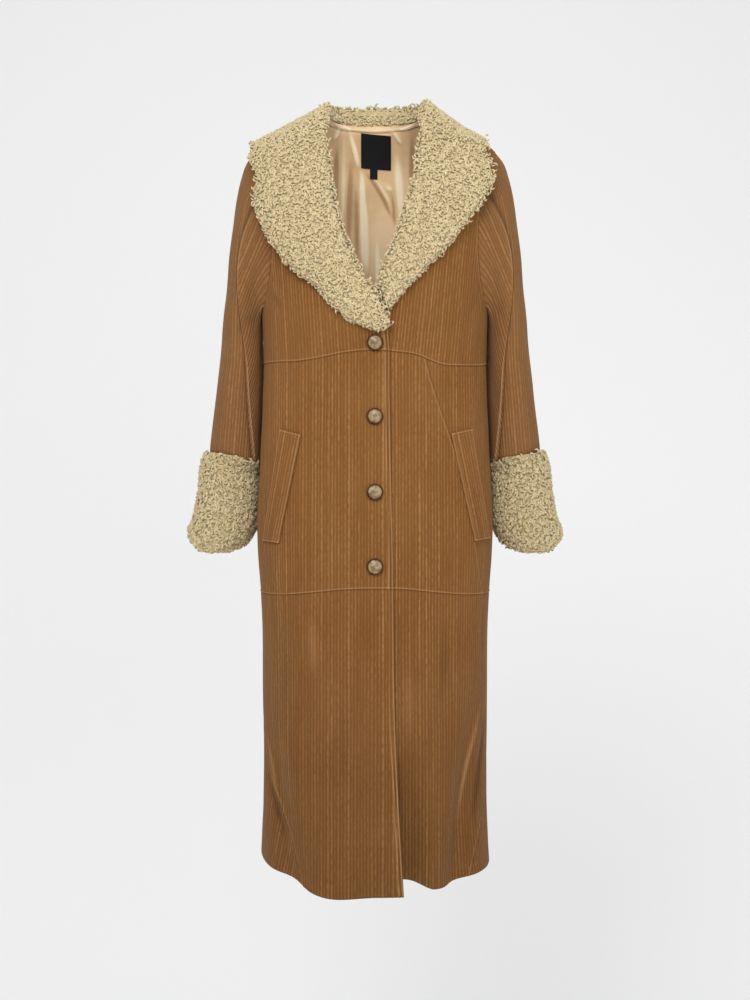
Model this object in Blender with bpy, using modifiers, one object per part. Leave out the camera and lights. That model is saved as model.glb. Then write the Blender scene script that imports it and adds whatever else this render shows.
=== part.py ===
"""A long corduroy coat with a fur collar, fur lapels and turned-back fur cuffs, filled out and hollow.

Metres, +Z up. The front faces -Y, and the wearer's right side is at -X.
The origin is the middle of the neck, level with the shoulder seams' neck ends.
"""

import math

import bmesh
import bpy
import numpy as np

# Driving sizes
CLOTH = 0.002
LINING = 0.001
LINING_GAP = 0.0005
SEAM_GAP = 0.0003
SEAM_SPARE = 0.0001
RING_POWER = 2.3
RING_RADIUS = 0.12
SHOULDER_LEVEL = -0.062
UNDERARM_LEVEL = -0.335
NECK_TOP = -0.004
NECK_DIP_FRONT, NECK_DIP_BACK = 0.016, 0.001
WAIST_FRONT, WAIST_SIDE = -0.399, -0.415
HIP_FRONT, HIP_SIDE = -0.775, -0.790
HEM = -1.234
LAP_DEPTH = 0.005
LAP_TURN, LAP_BLEND = math.radians(26), math.radians(14)
LAP_TOP, LAP_TOP_BLEND = -0.270, 0.040
SWING_DEPTH, SWING_TOP, SWING_LENGTH = 0.036, -0.950, 0.300

# Fur
FUR_GAP = 0.0007
FUR_THICK = 0.014
FUR_EDGE = 0.007
LAPEL_SPREAD = 0.035
GORGE_GAP = 0.0006
GORGE_RISE = {"right": 0.032, "left": 0.010}
GORGE_ROLL_SLOPE, GORGE_EDGE_SLOPE = 0.1, 0.4
COLLAR_REACH = {"right": 0.985, "left": 0.875}
COLLAR_KNOTS = (0.0, 0.22, 0.34, 0.66, 1.0)
FALL_NEAR, FALL_MIDDLE = 0.14, 0.55
COLLAR_LIFT = 0.002
FUR_LEAST = 0.003
COLLAR_CLEAR = 0.009
STAND_ROWS = 3
COLLAR_ROWS, COLLAR_COLUMNS = 9, 13
LAPEL_ROWS, LAPEL_COLUMNS = 16, 8
THICKNESS_TRIES = 24

# Sleeves and cuffs
WRIST = -0.5645
CUFF_END = -0.722
CUFF_WALL = 0.012
CUFF_COLUMNS = 24
SLEEVE_ROWS = np.array([0.0, 0.04, 0.10, 0.17, 0.25, 0.34, 0.44, 0.55, 0.66, 0.77, 0.89, 1.0])
ARMHOLE_EASE = 0.997
CAP_HOLD, UNDERARM_HOLD = 5, 11
SPREAD_ONSET = 1.6
RIM_TURN, RIM_BLEND = math.radians(50), math.radians(60)

# Small pieces
BUTTON_RADIUS = 0.013
BUTTON_HEIGHT = 0.0062
BUTTON_STEPS = 16
BUTTON_LEVELS = (-0.393, -0.509, -0.627, -0.742)
LABEL_WIDTH, LABEL_TOP, LABEL_LOW = 0.052, -0.013, -0.071
TAB_WIDTH, TAB_LOW = 0.013, -0.086
LABEL_SHIFT, LABEL_TILT = 0.0025, 0.08
LABEL_THICK = 0.0008
LABEL_GAP = 0.0007
WELT_GAP = 0.0010
BUTTON_GAP = 0.0006

# Rings of the body: level, half width, depth in front, depth behind
BODY = {
    "level": [-1.260, -1.234, -1.140, -0.940, -0.840, -0.790, -0.690, -0.5645, -0.500, -0.410, -0.335,
              -0.200, -0.100, -0.062, -0.030, -0.012, 0.000],
    "half_width": [0.189, 0.188, 0.184, 0.184, 0.1855, 0.188, 0.1920, 0.1885, 0.186, 0.1835, 0.186,
                   0.193, 0.199, 0.194, 0.134, 0.099, 0.076],
    "front": [0.170, 0.168, 0.163, 0.153, 0.145, 0.140, 0.134, 0.125, 0.120, 0.113, 0.119,
              0.112, 0.095, 0.085, 0.075, 0.063, 0.055],
    "back": [0.152, 0.150, 0.145, 0.135, 0.128, 0.125, 0.118, 0.107, 0.102, 0.097, 0.104,
             0.108, 0.100, 0.092, 0.077, 0.066, 0.060],
}

# Armhole edge, front and back: level, angle from the front (or back) centre in degrees
ARMHOLE = {
    "level": [-0.335, -0.325, -0.300, -0.260, -0.200, -0.140, -0.100, -0.075, -0.062],
    "turn": [90.0, 76.0, 66.0, 60.0, 57.0, 60.0, 66.0, 76.0, 90.0],
}

# Levels of the bodice's rows; the armhole lies between the shoulder and the underarm
UPPER_LEVELS = np.array([NECK_TOP, -0.020, -0.036, -0.052, SHOULDER_LEVEL, -0.068, -0.077, -0.100,
                         -0.135, -0.170, -0.205, -0.240, -0.270, -0.295, -0.312, -0.325, -0.331,
                         UNDERARM_LEVEL, -0.360, WAIST_SIDE])

# Front edges, from the roll of the lapel down to the hem: level, x
EDGE_RIGHT = {
    "level": [-1.260, -1.140, -0.990, -0.780, -0.480, -0.385, -0.337, -0.312, -0.276, -0.240, -0.190, -0.146,
              -0.100, -0.053, 0.000],
    "x": [0.046, 0.038, 0.028, 0.0235, 0.0240, 0.0220, 0.0140, -0.0012, -0.0265, -0.040, -0.056, -0.064,
          -0.070, -0.0745, -0.0755],
}
EDGE_LEFT = {
    "level": [-1.260, -0.480, -0.390, -0.345, -0.310, -0.265, -0.206, -0.171, -0.138, -0.097, -0.053, 0.000],
    "x": [-0.025, -0.025, -0.024, -0.014, 0.001, 0.0165, 0.038, 0.051, 0.0583, 0.063, 0.068, 0.0755],
}

# Side seams of the skirt swing forward near the hem: level, angle from the front in degrees
SIDE_RIGHT = {
    "level": [-1.260, -1.200, -1.150, -1.100, -1.020, -0.900, -0.780],
    "turn": [32.0, 41.0, 52.0, 63.0, 78.0, 88.0, 90.0],
}
SIDE_LEFT = {
    "level": [-1.260, -1.200, -1.150, -1.100, -1.020, -0.900, -0.780],
    "turn": [50.0, 57.0, 66.0, 75.0, 84.0, 89.0, 90.0],
}

# Hem, right and left: angle from the front in degrees, level
HEM_RIGHT = {
    "turn": [0.0, 20.0, 30.0, 36.0, 46.0, 60.0, 90.0, 180.0],
    "level": [-1.243, -1.247, -1.241, -1.235, -1.227, -1.228, -1.231, -1.233],
}
HEM_LEFT = {
    "turn": [0.0, 12.0, 27.0, 36.0, 51.0, 90.0, 180.0],
    "level": [-1.227, -1.229, -1.2355, -1.2355, -1.229, -1.231, -1.233],
}

# Seam from the waist down the inner edge of the pocket welt: level, distance from the centre
POCKET_SEAM = {
    "level": [-0.800, -0.705, -0.534, -0.470, -0.390],
    "x": [0.160, 0.152, 0.116, 0.095, 0.072],
}

# Pocket welts: x and level of the inner and outer edge at the top and the bottom
WELTS = {
    "right": {"inner": [(-0.1148, -0.536), (-0.1500, -0.708)],
              "outer": [(-0.1500, -0.526), (-0.1780, -0.705)]},
    "left": {"inner": [(0.1180, -0.534), (0.1560, -0.705)],
             "outer": [(0.1530, -0.525), (0.1830, -0.701)]},
}

# Large folds of the skirt, at full depth some way down: angle in degrees and level at both ends,
# depth, half width in degrees
FOLDS = {
    "top_turn": [62.0, -66.0, 118.0, -128.0, 152.0, -160.0],
    "top_level": [-0.88, -0.95, -0.86, -0.90, -0.95, -1.00],
    "low_turn": [41.0, -40.0, 112.0, -118.0, 148.0, -156.0],
    "low_level": [-1.26, -1.26, -1.26, -1.26, -1.26, -1.26],
    "depth": [0.017, 0.012, 0.010, 0.012, 0.008, 0.009],
    "half_width": [9.0, 10.0, 11.0, 12.0, 10.0, 11.0],
}

FOLD_ONSET = 1.4

# Sleeve rings: level, inner and outer x, half depth, y of the centre
SLEEVE = {
    "level": [-0.5645, -0.490, -0.391, -0.341, -0.291, -0.242, -0.192, -0.142, -0.109, -0.085, -0.062],
    "inner": [0.1905, 0.1880, 0.1865, 0.1885, 0.1880, 0.1840, 0.1790, 0.1700, 0.1620, 0.1600, 0.1600],
    "outer": [0.2755, 0.2675, 0.2560, 0.2510, 0.2450, 0.2410, 0.2350, 0.2280, 0.2210, 0.2130, 0.1950],
    "half_depth": [0.055, 0.057, 0.060, 0.062, 0.064, 0.066, 0.066, 0.062, 0.054, 0.044, 0.034],
    "centre_y": [0.012, 0.016, 0.016, 0.009, 0.005, 0.002, 0.0, 0.0, 0.0, 0.0, 0.0],
}

# Front seam of the sleeve, as an angle round its ring from the outer side: level, degrees
SLEEVE_SEAM = {
    "level": [-0.5645, -0.500, -0.400, -0.300, -0.200, -0.100],
    "turn": [138.0, 124.0, 108.0, 98.0, 92.0, 80.0],
}
SLEEVE_BACK_SEAM = 232.0
# Where the two sleeve seams meet the armhole, counted along its points
ARMHOLE_BACK_POINT, ARMHOLE_FRONT_POINT = 5, 19

# Cuff rings: level, inner and outer x, half depth
CUFF = {
    "level": [CUFF_END, -0.700, -0.640, -0.590, WRIST],
    "inner": [0.2050, 0.2015, 0.1965, 0.1930, 0.1930],
    "outer": [0.3040, 0.3050, 0.2960, 0.2870, 0.2800],
    "half_depth": [0.070, 0.072, 0.070, 0.067, 0.062],
    "centre_y": [0.006, 0.007, 0.009, 0.011, 0.012],
}

# Lapels from the collar down to the tip: roll line and outer edge
LAPEL_RIGHT = {
    "roll_x": [-0.0720, -0.0680, -0.0590, -0.0425, -0.0205, 0.0040, 0.0250],
    "roll_level": [-0.0890, -0.1250, -0.1800, -0.2330, -0.2850, -0.3180, -0.3500],
    "edge_x": [-0.1850, -0.1920, -0.1800, -0.1430, -0.0950, -0.0500, -0.0150],
    "edge_level": [-0.1280, -0.1580, -0.1980, -0.2640, -0.3060, -0.3500, -0.3730],
}
LAPEL_LEFT = {
    "roll_x": [0.0690, 0.0640, 0.0560, 0.0380, 0.0205, 0.0060, 0.0140],
    "roll_level": [-0.0660, -0.1000, -0.1500, -0.2050, -0.2550, -0.2950, -0.3240],
    "edge_x": [0.1760, 0.1880, 0.1740, 0.1400, 0.1040, 0.0660, 0.0340],
    "edge_level": [-0.0860, -0.1230, -0.1610, -0.2080, -0.2540, -0.2920, -0.3330],
}

# Collar sections over one shoulder, from the centre back to the front of the shoulder
COLLAR = {
    "neck_x": [0.000, 0.038, 0.064, 0.0755, 0.0715],
    "neck_y": [0.0600, 0.0530, 0.0330, 0.0000, -0.0560],
    "neck_level": [-0.0010, -0.0005, 0.0005, 0.0010, -0.0100],
    "top_x": [0.000, 0.044, 0.073, 0.0840, 0.0860],
    "top_y": [0.0860, 0.0760, 0.0460, 0.0020, -0.0540],
    "top_level": [0.0360, 0.0335, 0.0280, 0.0200, 0.0020],
    "edge_x": [0.000, 0.085, 0.152, 0.2000, 0.2050],
    "edge_y": [0.1230, 0.1130, 0.0850, 0.0000, -0.0480],
    "edge_level": [-0.0900, -0.0850, -0.0700, -0.0530, -0.0760],
}

# Colours: red, green, blue, roughness
FINISHES = {
    "corduroy": (0.40, 0.20, 0.075, 0.9),
    "fur": (0.80, 0.70, 0.48, 0.95),
    "satin": (0.78, 0.60, 0.40, 0.35),
    "label_black": (0.01, 0.01, 0.012, 0.7),
    "button_brown": (0.20, 0.09, 0.03, 0.3),
}

COLLECTION = bpy.data.collections.new("maxi_coat")


# Scene and materials
def clear_scene():
    for thing in list(bpy.data.objects):
        bpy.data.objects.remove(thing, do_unlink=True)
    bpy.context.scene.collection.children.link(COLLECTION)


def material(name):
    found = bpy.data.materials.get(name)
    if found:
        return found
    made = bpy.data.materials.new(name)
    made.use_nodes = True
    shader = made.node_tree.nodes["Principled BSDF"]
    red, green, blue, roughness = FINISHES[name]
    shader.inputs["Base Color"].default_value = (red, green, blue, 1.0)
    shader.inputs["Roughness"].default_value = roughness
    shader.inputs["Metallic"].default_value = 0.0
    return made


# Smooth curves through the tables
def smooth(places, values, at):
    """A smooth curve through a table's values, read at any place."""
    places = np.asarray(places, float)
    values = np.asarray(values, float)
    order = np.argsort(places)
    places = places[order]
    values = values[order]
    slopes = np.gradient(values, places)
    at = np.clip(np.asarray(at, float), places[0], places[-1])
    low = np.clip(np.searchsorted(places, at, side="right") - 1, 0, len(places) - 2)
    step = places[low + 1] - places[low]
    share = (at - places[low]) / step
    rise = 3 * share**2 - 2 * share**3
    lead = share - 2 * share**2 + share**3
    trail = share**3 - share**2
    straight = values[low] * (1 - rise) + values[low + 1] * rise
    return straight + step * (slopes[low] * lead + slopes[low + 1] * trail)


def along(table, column, count):
    """A column's values at even steps from its first row to its last."""
    rows = np.arange(len(table[column]))
    return smooth(rows, table[column], np.linspace(0, rows[-1], count))


def ease(share):
    share = np.clip(share, 0.0, 1.0)
    return share * share * (3 - 2 * share)


# Surface of the body
def power(value, exponent):
    return np.sign(value) * np.abs(value) ** exponent


def fold_depth(turn, level):
    """How far the large folds sink in at an angle and a level."""
    depth = np.zeros(np.broadcast(turn, level).shape)
    for row in range(len(FOLDS["depth"])):
        top = FOLDS["top_level"][row]
        low = FOLDS["low_level"][row]
        share = (top - level) / (top - low)
        start = math.radians(FOLDS["top_turn"][row])
        end = math.radians(FOLDS["low_turn"][row])
        middle = start + (end - start) * np.clip(share, 0, 1)
        away = (turn - middle + math.pi) % (2 * math.pi) - math.pi
        across = away / math.radians(FOLDS["half_width"][row])
        depth += FOLDS["depth"][row] * ease(share * FOLD_ONSET) * np.exp(-across * across)
    return depth


def body(turn, level, wider=0.0, deeper=0.0):
    """Point of the coat's surface: turn 0 is the front centre, positive towards +X."""
    turn, level = np.broadcast_arrays(np.asarray(turn, float), np.asarray(level, float))
    half_width = smooth(BODY["level"], BODY["half_width"], level) + wider
    front = smooth(BODY["level"], BODY["front"], level) + deeper
    back = smooth(BODY["level"], BODY["back"], level) + deeper
    depth = np.where(np.cos(turn) > 0, front, back)
    x = half_width * power(np.sin(turn), 2 / RING_POWER)
    y = -depth * power(np.cos(turn), 2 / RING_POWER)
    reach = np.maximum(np.hypot(x, y), 1e-6)
    shrink = 1 - fold_depth(turn, level) / reach
    return np.stack([x * shrink, y * shrink, level], -1)


def turn_at(x, level, wider=0.0):
    """Angle of the surface in front where it has this x."""
    half_width = smooth(BODY["level"], BODY["half_width"], level) + wider
    share = np.clip(np.asarray(x) / half_width, -1, 1)
    return np.arcsin(power(share, RING_POWER / 2))


def facing(surface, turn, level):
    """Outward unit normal of a surface given as a function of turn and level."""
    small = 1e-4
    sideways = surface(turn + small, level) - surface(turn - small, level)
    upward = surface(turn, level + small) - surface(turn, level - small)
    normal = np.cross(sideways, upward)
    return normal / np.linalg.norm(normal, axis=-1, keepdims=True)


# Solids from grids of points
def solid(name, outer, inner, finish, closed=False):
    """A wall between two grids of points; a closed one joins its last column to its first."""
    rows, columns = outer.shape[:2]
    points = np.concatenate([outer.reshape(-1, 3), inner.reshape(-1, 3)])
    size = rows * columns
    last = columns if closed else columns - 1
    faces = []

    def quad(a, b, c, d):
        faces.append((a, b, c))
        faces.append((a, c, d))

    for row in range(rows - 1):
        for column in range(last):
            beside = (column + 1) % columns
            a, b = row * columns + column, row * columns + beside
            c, d = a + columns, b + columns
            quad(a, c, d, b)
            quad(size + a, size + b, size + d, size + c)
    for column in range(last):
        beside = (column + 1) % columns
        low = (rows - 1) * columns
        quad(column, beside, size + beside, size + column)
        quad(low + column, size + low + column, size + low + beside, low + beside)
    if not closed:
        for row in range(rows - 1):
            a, c = row * columns, (row + 1) * columns
            b, d = a + columns - 1, c + columns - 1
            quad(a, size + a, size + c, c)
            quad(b, d, size + d, size + b)
    mesh = bpy.data.meshes.new(name)
    mesh.from_pydata(points.tolist(), [], faces)
    return place(name, mesh, finish)


def place(name, mesh, finish):
    """Adds a mesh to the coat with its faces pointing out."""
    sorter = bmesh.new()
    sorter.from_mesh(mesh)
    bmesh.ops.recalc_face_normals(sorter, faces=sorter.faces)
    sorter.to_mesh(mesh)
    sorter.free()
    mesh.materials.append(material(finish))
    thing = bpy.data.objects.new(name, mesh)
    COLLECTION.objects.link(thing)
    return thing


# Panels of the body
def lap_shift(turn, level):
    """How far the left front steps in behind the right one; it swings back near the hem."""
    swing = SWING_DEPTH * ease((SWING_TOP - level) / SWING_LENGTH)
    under = ease((LAP_TURN - turn) / LAP_BLEND)
    return (LAP_DEPTH + swing) * under * ease((LAP_TOP - level) / LAP_TOP_BLEND)


def plain_surface(turn, level):
    return body(turn, level)


def left_front_surface(turn, level):
    points = body(turn, level)
    points[..., 1] += lap_shift(turn, level)
    return points


def waist_level(turn):
    front = np.maximum(np.cos(turn), 0) ** 2
    return WAIST_SIDE + (WAIST_FRONT - WAIST_SIDE) * front


def hip_level(turn):
    front = np.maximum(np.cos(turn), 0) ** 2
    return HIP_SIDE + (HIP_FRONT - HIP_SIDE) * front


def hem_level(table, sign):
    """The hem's level at an angle, dipping a little at the front."""
    def level(turn):
        away = np.degrees(np.maximum(sign * turn, 0))
        return smooth(table["turn"], table["level"], away)
    return level


def back_hem_level(turn):
    left = hem_level(HEM_LEFT, 1)(turn)
    right = hem_level(HEM_RIGHT, -1)(turn - 2 * math.pi)
    return np.where(turn < math.pi, left, right)


def neck_level(turn):
    dip = np.where(np.cos(turn) > 0, NECK_DIP_FRONT, NECK_DIP_BACK)
    return NECK_TOP - dip * np.cos(turn) ** 2


def grid(levels, start, end, top, low, columns):
    """Turns and levels of a panel between two side edges, a top and a bottom edge."""
    shares = (levels[0] - levels) / (levels[0] - levels[-1])
    across = np.linspace(0, 1, columns)
    first = start(levels)
    final = end(levels)
    turns = first[:, None] + (final - first)[:, None] * across
    highs = top(turns)
    lows = low(turns)
    return turns, highs + (lows - highs) * shares[:, None]


def trimmed(turns, levels):
    """Pulls a panel's edges in by half a seam gap."""
    half = SEAM_GAP / 2 + SEAM_SPARE
    turns = turns.copy()
    levels = levels.copy()
    turns[:, 0] += half / RING_RADIUS
    turns[:, -1] -= half / RING_RADIUS
    levels[0] -= half
    levels[-1] += half
    return turns, levels


def panel(name, turns, levels, surface=plain_surface, wall=CLOTH, finish="corduroy", lift=0.0):
    normal = facing(surface, turns, levels)
    outer = surface(turns, levels) + lift * normal
    return solid(name, outer, outer - wall * normal, finish)


def edge_turn(table):
    return lambda level: turn_at(smooth(table["level"], table["x"], level), level)


def side_turn(table, sign):
    return lambda level: sign * np.radians(smooth(table["level"], table["turn"], level))


def armhole_turn(level):
    """Angle of the armhole's edge, which is the side or shoulder seam above and below it."""
    inside = (level > UNDERARM_LEVEL) & (level < SHOULDER_LEVEL)
    turn = smooth(ARMHOLE["level"], ARMHOLE["turn"], level)
    return np.radians(np.where(inside, turn, 90.0))


def pocket_turn(sign):
    return lambda level: sign * turn_at(smooth(POCKET_SEAM["level"], POCKET_SEAM["x"], level), level)


def left_upper_grid():
    return grid(UPPER_LEVELS, edge_turn(EDGE_LEFT), armhole_turn, neck_level, waist_level, 10)


def back_upper_grid():
    return grid(UPPER_LEVELS, lambda level: math.pi - armhole_turn(level),
                lambda level: math.pi + armhole_turn(level), neck_level, waist_level, 17)


def upper_panels():
    right = grid(UPPER_LEVELS, lambda level: -armhole_turn(level), edge_turn(EDGE_RIGHT),
                 neck_level, waist_level, 10)
    panel("front_right_upper", *trimmed(*right))
    panel("front_left_upper", *trimmed(*left_upper_grid()), surface=left_front_surface)
    panel("back_upper", *trimmed(*back_upper_grid()))


def waist_panels():
    levels = np.linspace(WAIST_SIDE, HIP_SIDE, 11)
    straight = side_turn({"level": [-1.0, 0.0], "turn": [90.0, 90.0]}, 1)
    sides = {
        "front_right_waist_side": (lambda level: -straight(level), pocket_turn(-1), 5, plain_surface),
        "front_right_waist_center": (pocket_turn(-1), edge_turn(EDGE_RIGHT), 9, plain_surface),
        "front_left_waist_center": (edge_turn(EDGE_LEFT), pocket_turn(1), 9, left_front_surface),
        "front_left_waist_side": (pocket_turn(1), straight, 5, left_front_surface),
        "back_waist": (straight, lambda level: 2 * math.pi - straight(level), 17, plain_surface),
    }
    for name, (start, end, columns, surface) in sides.items():
        spread = grid(levels, start, end, waist_level, hip_level, columns)
        panel(name, *trimmed(*spread), surface=surface)


def skirt_panels():
    levels = np.linspace(HIP_SIDE, HEM, 13)
    right_side = side_turn(SIDE_RIGHT, -1)
    left_side = side_turn(SIDE_LEFT, 1)
    sides = {
        "front_right_skirt": (right_side, edge_turn(EDGE_RIGHT), hem_level(HEM_RIGHT, -1), 15, plain_surface),
        "front_left_skirt": (edge_turn(EDGE_LEFT), left_side, hem_level(HEM_LEFT, 1), 15, left_front_surface),
        "back_skirt": (left_side, lambda level: 2 * math.pi + right_side(level), back_hem_level, 27,
                       plain_surface),
    }
    for name, (start, end, hem, columns, surface) in sides.items():
        spread = grid(levels, start, end, hip_level, hem, columns)
        panel(name, *trimmed(*spread), surface=surface)


def pocket_welts():
    for side, edges in WELTS.items():
        down = np.linspace(0, 1, 9)[:, None]
        over = np.linspace(0, 1, 4)[None, :]
        inner_top, inner_low = np.array(edges["inner"])
        outer_top, outer_low = np.array(edges["outer"])
        inner = inner_top + (inner_low - inner_top) * down
        outer = outer_top + (outer_low - outer_top) * down
        spots = inner[:, None, :] + (outer - inner)[:, None, :] * over[..., None]
        levels = spots[..., 1]
        turns = turn_at(spots[..., 0], levels)
        surface = plain_surface if side == "right" else left_front_surface
        panel("welt_" + side, turns, levels, surface, CLOTH, "corduroy", CLOTH + WELT_GAP)


# Lining and labels
def inner_surface(depth):
    def surface(turn, level):
        return body(turn, level) - depth * facing(body, turn, level)
    return surface


def lining():
    turns, levels = back_upper_grid()
    middle = turns.shape[1] // 2
    halves = {"lining_left": slice(1, middle + 1), "lining_right": slice(middle, -1)}
    for name, columns in halves.items():
        spread = trimmed(turns[:, columns], levels[:, columns])
        panel(name, *spread, inner_surface(CLOTH + LINING_GAP), LINING, "satin")


def labels():
    depth = CLOTH + LINING_GAP + LINING + LABEL_GAP
    tags = {
        "label": (LABEL_WIDTH, LABEL_TOP, LABEL_LOW),
        "size_tab": (TAB_WIDTH, LABEL_LOW - SEAM_GAP, TAB_LOW),
    }
    for name, (width, top, low) in tags.items():
        x = np.linspace(width / 2, -width / 2, 3)
        spots, levels = np.meshgrid(x, np.linspace(top, low, 4))
        levels = levels - LABEL_TILT * spots
        spots = spots + LABEL_SHIFT
        turns = math.pi - turn_at(spots, levels)
        panel(name, turns, levels, inner_surface(depth), LABEL_THICK, "label_black")


# Sleeves and cuffs
def tube_ring(table, turn, level):
    """Point on a sleeve's ring: turn 0 is the outer side, a quarter turn is the front."""
    inner = smooth(table["level"], table["inner"], level)
    outer = smooth(table["level"], table["outer"], level)
    half_depth = smooth(table["level"], table["half_depth"], level)
    centre_y = smooth(table["level"], table["centre_y"], level)
    x = (outer + inner) / 2 + (outer - inner) / 2 * np.cos(turn)
    y = centre_y - half_depth * np.sin(turn)
    return np.stack([x, y, level + 0 * x], -1)


def armhole_loop():
    """Body turns and levels round the armhole, from the underarm up the back and down the front."""
    rows = (UPPER_LEVELS <= SHOULDER_LEVEL) & (UPPER_LEVELS >= UNDERARM_LEVEL)
    front_turns, front_levels = left_upper_grid()
    back_turns, back_levels = back_upper_grid()
    turns = np.concatenate([back_turns[rows, 0][::-1], front_turns[rows, -1][1:]])
    levels = np.concatenate([back_levels[rows, 0][::-1], front_levels[rows, -1][1:]])
    centre = (SHOULDER_LEVEL + UNDERARM_LEVEL) / 2
    side = math.pi / 2
    return side + (turns - side) * ARMHOLE_EASE, centre + (levels - centre) * ARMHOLE_EASE


def parted(points):
    """Pulls the first and last columns in by half a seam gap."""
    half = SEAM_GAP / 2 + SEAM_SPARE
    points = points.copy()
    for edge, beside in ((0, 1), (-1, -2)):
        inward = points[:, beside] - points[:, edge]
        points[:, edge] += half * inward / np.linalg.norm(inward, axis=-1, keepdims=True)
    return points


def sleeve_walls(columns, start_turn, end_turn, shares):
    """Outer and inner points of a piece of the left sleeve, from the armhole to the wrist."""
    body_turns, starts = (values[columns] for values in armhole_loop())
    first = body(body_turns, starts)
    centre = (SHOULDER_LEVEL + UNDERARM_LEVEL) / 2
    half = (SHOULDER_LEVEL - UNDERARM_LEVEL) / 2
    lean = np.arccos(np.clip((starts - centre) / (half * ARMHOLE_EASE), -1, 1))
    lean = np.unwrap(np.where(body_turns > math.pi / 2, -lean, lean))
    from_top = np.abs((lean + math.pi) % (2 * math.pi) - math.pi)

    def points(share, nudge):
        even = np.linspace(start_turn(share), end_turn(share), len(lean))
        turn = lean + (even - lean) * ease(share * SPREAD_ONSET) + nudge
        level = starts + (WRIST + SEAM_GAP - starts) * share
        miss = first - tube_ring(SLEEVE, lean, starts)
        hold = (1 - share) ** (CAP_HOLD + UNDERARM_HOLD * np.sin(lean / 2) ** 2)
        return tube_ring(SLEEVE, turn, level) + miss * hold[:, None]

    small = 1e-4
    outer = np.stack([points(share, 0) for share in shares])
    round_it = np.stack([points(share, small) - points(share, -small) for share in shares])
    down = np.stack([points(min(share + small, 1), 0) - points(max(share - small, 0), 0)
                     for share in shares])
    normal = np.cross(round_it, down)
    normal[-1, :, 2] = 0
    normal /= np.linalg.norm(normal, axis=-1, keepdims=True)
    low_down = ease((from_top - RIM_TURN) / RIM_BLEND)[:, None]
    normal[0] = facing(body, body_turns, starts) * (1 - low_down) + normal[0] * low_down
    normal[0] /= np.linalg.norm(normal[0], axis=-1, keepdims=True)
    return parted(outer), parted(outer - CLOTH * normal)


def mirrored(points, sign):
    return points * np.array([sign, 1, 1])


def front_seam_turn(share):
    level = SLEEVE_SEAM["level"]
    return math.radians(smooth(level, SLEEVE_SEAM["turn"], level[-1] + (level[0] - level[-1]) * share))


def back_seam_turn(share):
    return math.radians(SLEEVE_BACK_SEAM - 360)


def sleeves():
    count = len(armhole_loop()[0])
    top_columns = np.arange(ARMHOLE_BACK_POINT, ARMHOLE_FRONT_POINT + 1)
    under_columns = np.arange(ARMHOLE_FRONT_POINT, count + ARMHOLE_BACK_POINT) % (count - 1)
    pieces = {
        "top": (top_columns, back_seam_turn, front_seam_turn),
        "under": (under_columns, front_seam_turn, lambda share: back_seam_turn(share) + 2 * math.pi),
    }
    for side, sign in (("right", -1), ("left", 1)):
        for piece, (columns, start, end) in pieces.items():
            outer, inner = sleeve_walls(columns, start, end, SLEEVE_ROWS)
            solid(f"sleeve_{side}_{piece}", mirrored(outer, sign), mirrored(inner, sign), "corduroy")


def cuffs():
    levels = np.array([WRIST, -0.572, -0.590, -0.640, -0.690, -0.714, CUFF_END])
    turns, rows = np.meshgrid(np.linspace(0, 2 * math.pi, CUFF_COLUMNS, endpoint=False), levels)
    outer = tube_ring(CUFF, turns, rows)
    slim = {name: list(values) for name, values in CUFF.items()}
    slim["inner"] = [x + CUFF_WALL for x in CUFF["inner"]]
    slim["outer"] = [x - CUFF_WALL for x in CUFF["outer"]]
    slim["half_depth"] = [depth - CUFF_WALL for depth in CUFF["half_depth"]]
    inner = tube_ring(slim, turns, rows)
    for side, sign in (("right", -1), ("left", 1)):
        solid("cuff_" + side, mirrored(outer, sign), mirrored(inner, sign), "fur", closed=True)


# Fur collar and lapels
def puff(share):
    """Thickness of fur from one edge of a piece to the other."""
    middle = np.sqrt(np.clip(1 - (2 * share - 1) ** 4, 0, 1))
    return FUR_EDGE + (FUR_THICK - FUR_EDGE) * middle


def lapel_base(side):
    def surface(turn, level):
        points = body(turn, level, LAPEL_SPREAD, FUR_GAP)
        if side == "left":
            points[..., 1] += lap_shift(turn, level)
        return points
    return surface


def lapel_walls(side, roll_x, roll_level, edge_x, edge_level, columns):
    """Outer and inner points of a lapel between its roll line and its outer edge."""
    over = np.linspace(0, 1, columns)
    x = roll_x[:, None] + (edge_x - roll_x)[:, None] * over
    level = roll_level[:, None] + (edge_level - roll_level)[:, None] * over
    turn = turn_at(x, level, LAPEL_SPREAD)
    surface = lapel_base(side)
    inner = surface(turn, level)
    normal = facing(surface, turn, level)
    return inner + puff(over)[None, :, None] * normal, inner


def lapels():
    for side, table in (("right", LAPEL_RIGHT), ("left", LAPEL_LEFT)):
        edges = [along(table, name, LAPEL_ROWS) for name in ("roll_x", "roll_level", "edge_x", "edge_level")]
        outer, inner = lapel_walls(side, *edges, LAPEL_COLUMNS)
        solid("lapel_" + side, outer, inner, "fur")


def collar_section(neck, top, edge, rows):
    """Points over the collar from the neck seam over the roll to the outer edge."""
    share = np.linspace(0, 1, rows)
    fall = edge - top
    spots = np.stack([neck, top, top + fall * FALL_NEAR, top + fall * FALL_MIDDLE, edge])
    return np.stack([smooth(COLLAR_KNOTS, spots[:, axis], share) for axis in range(3)], -1)


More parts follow.
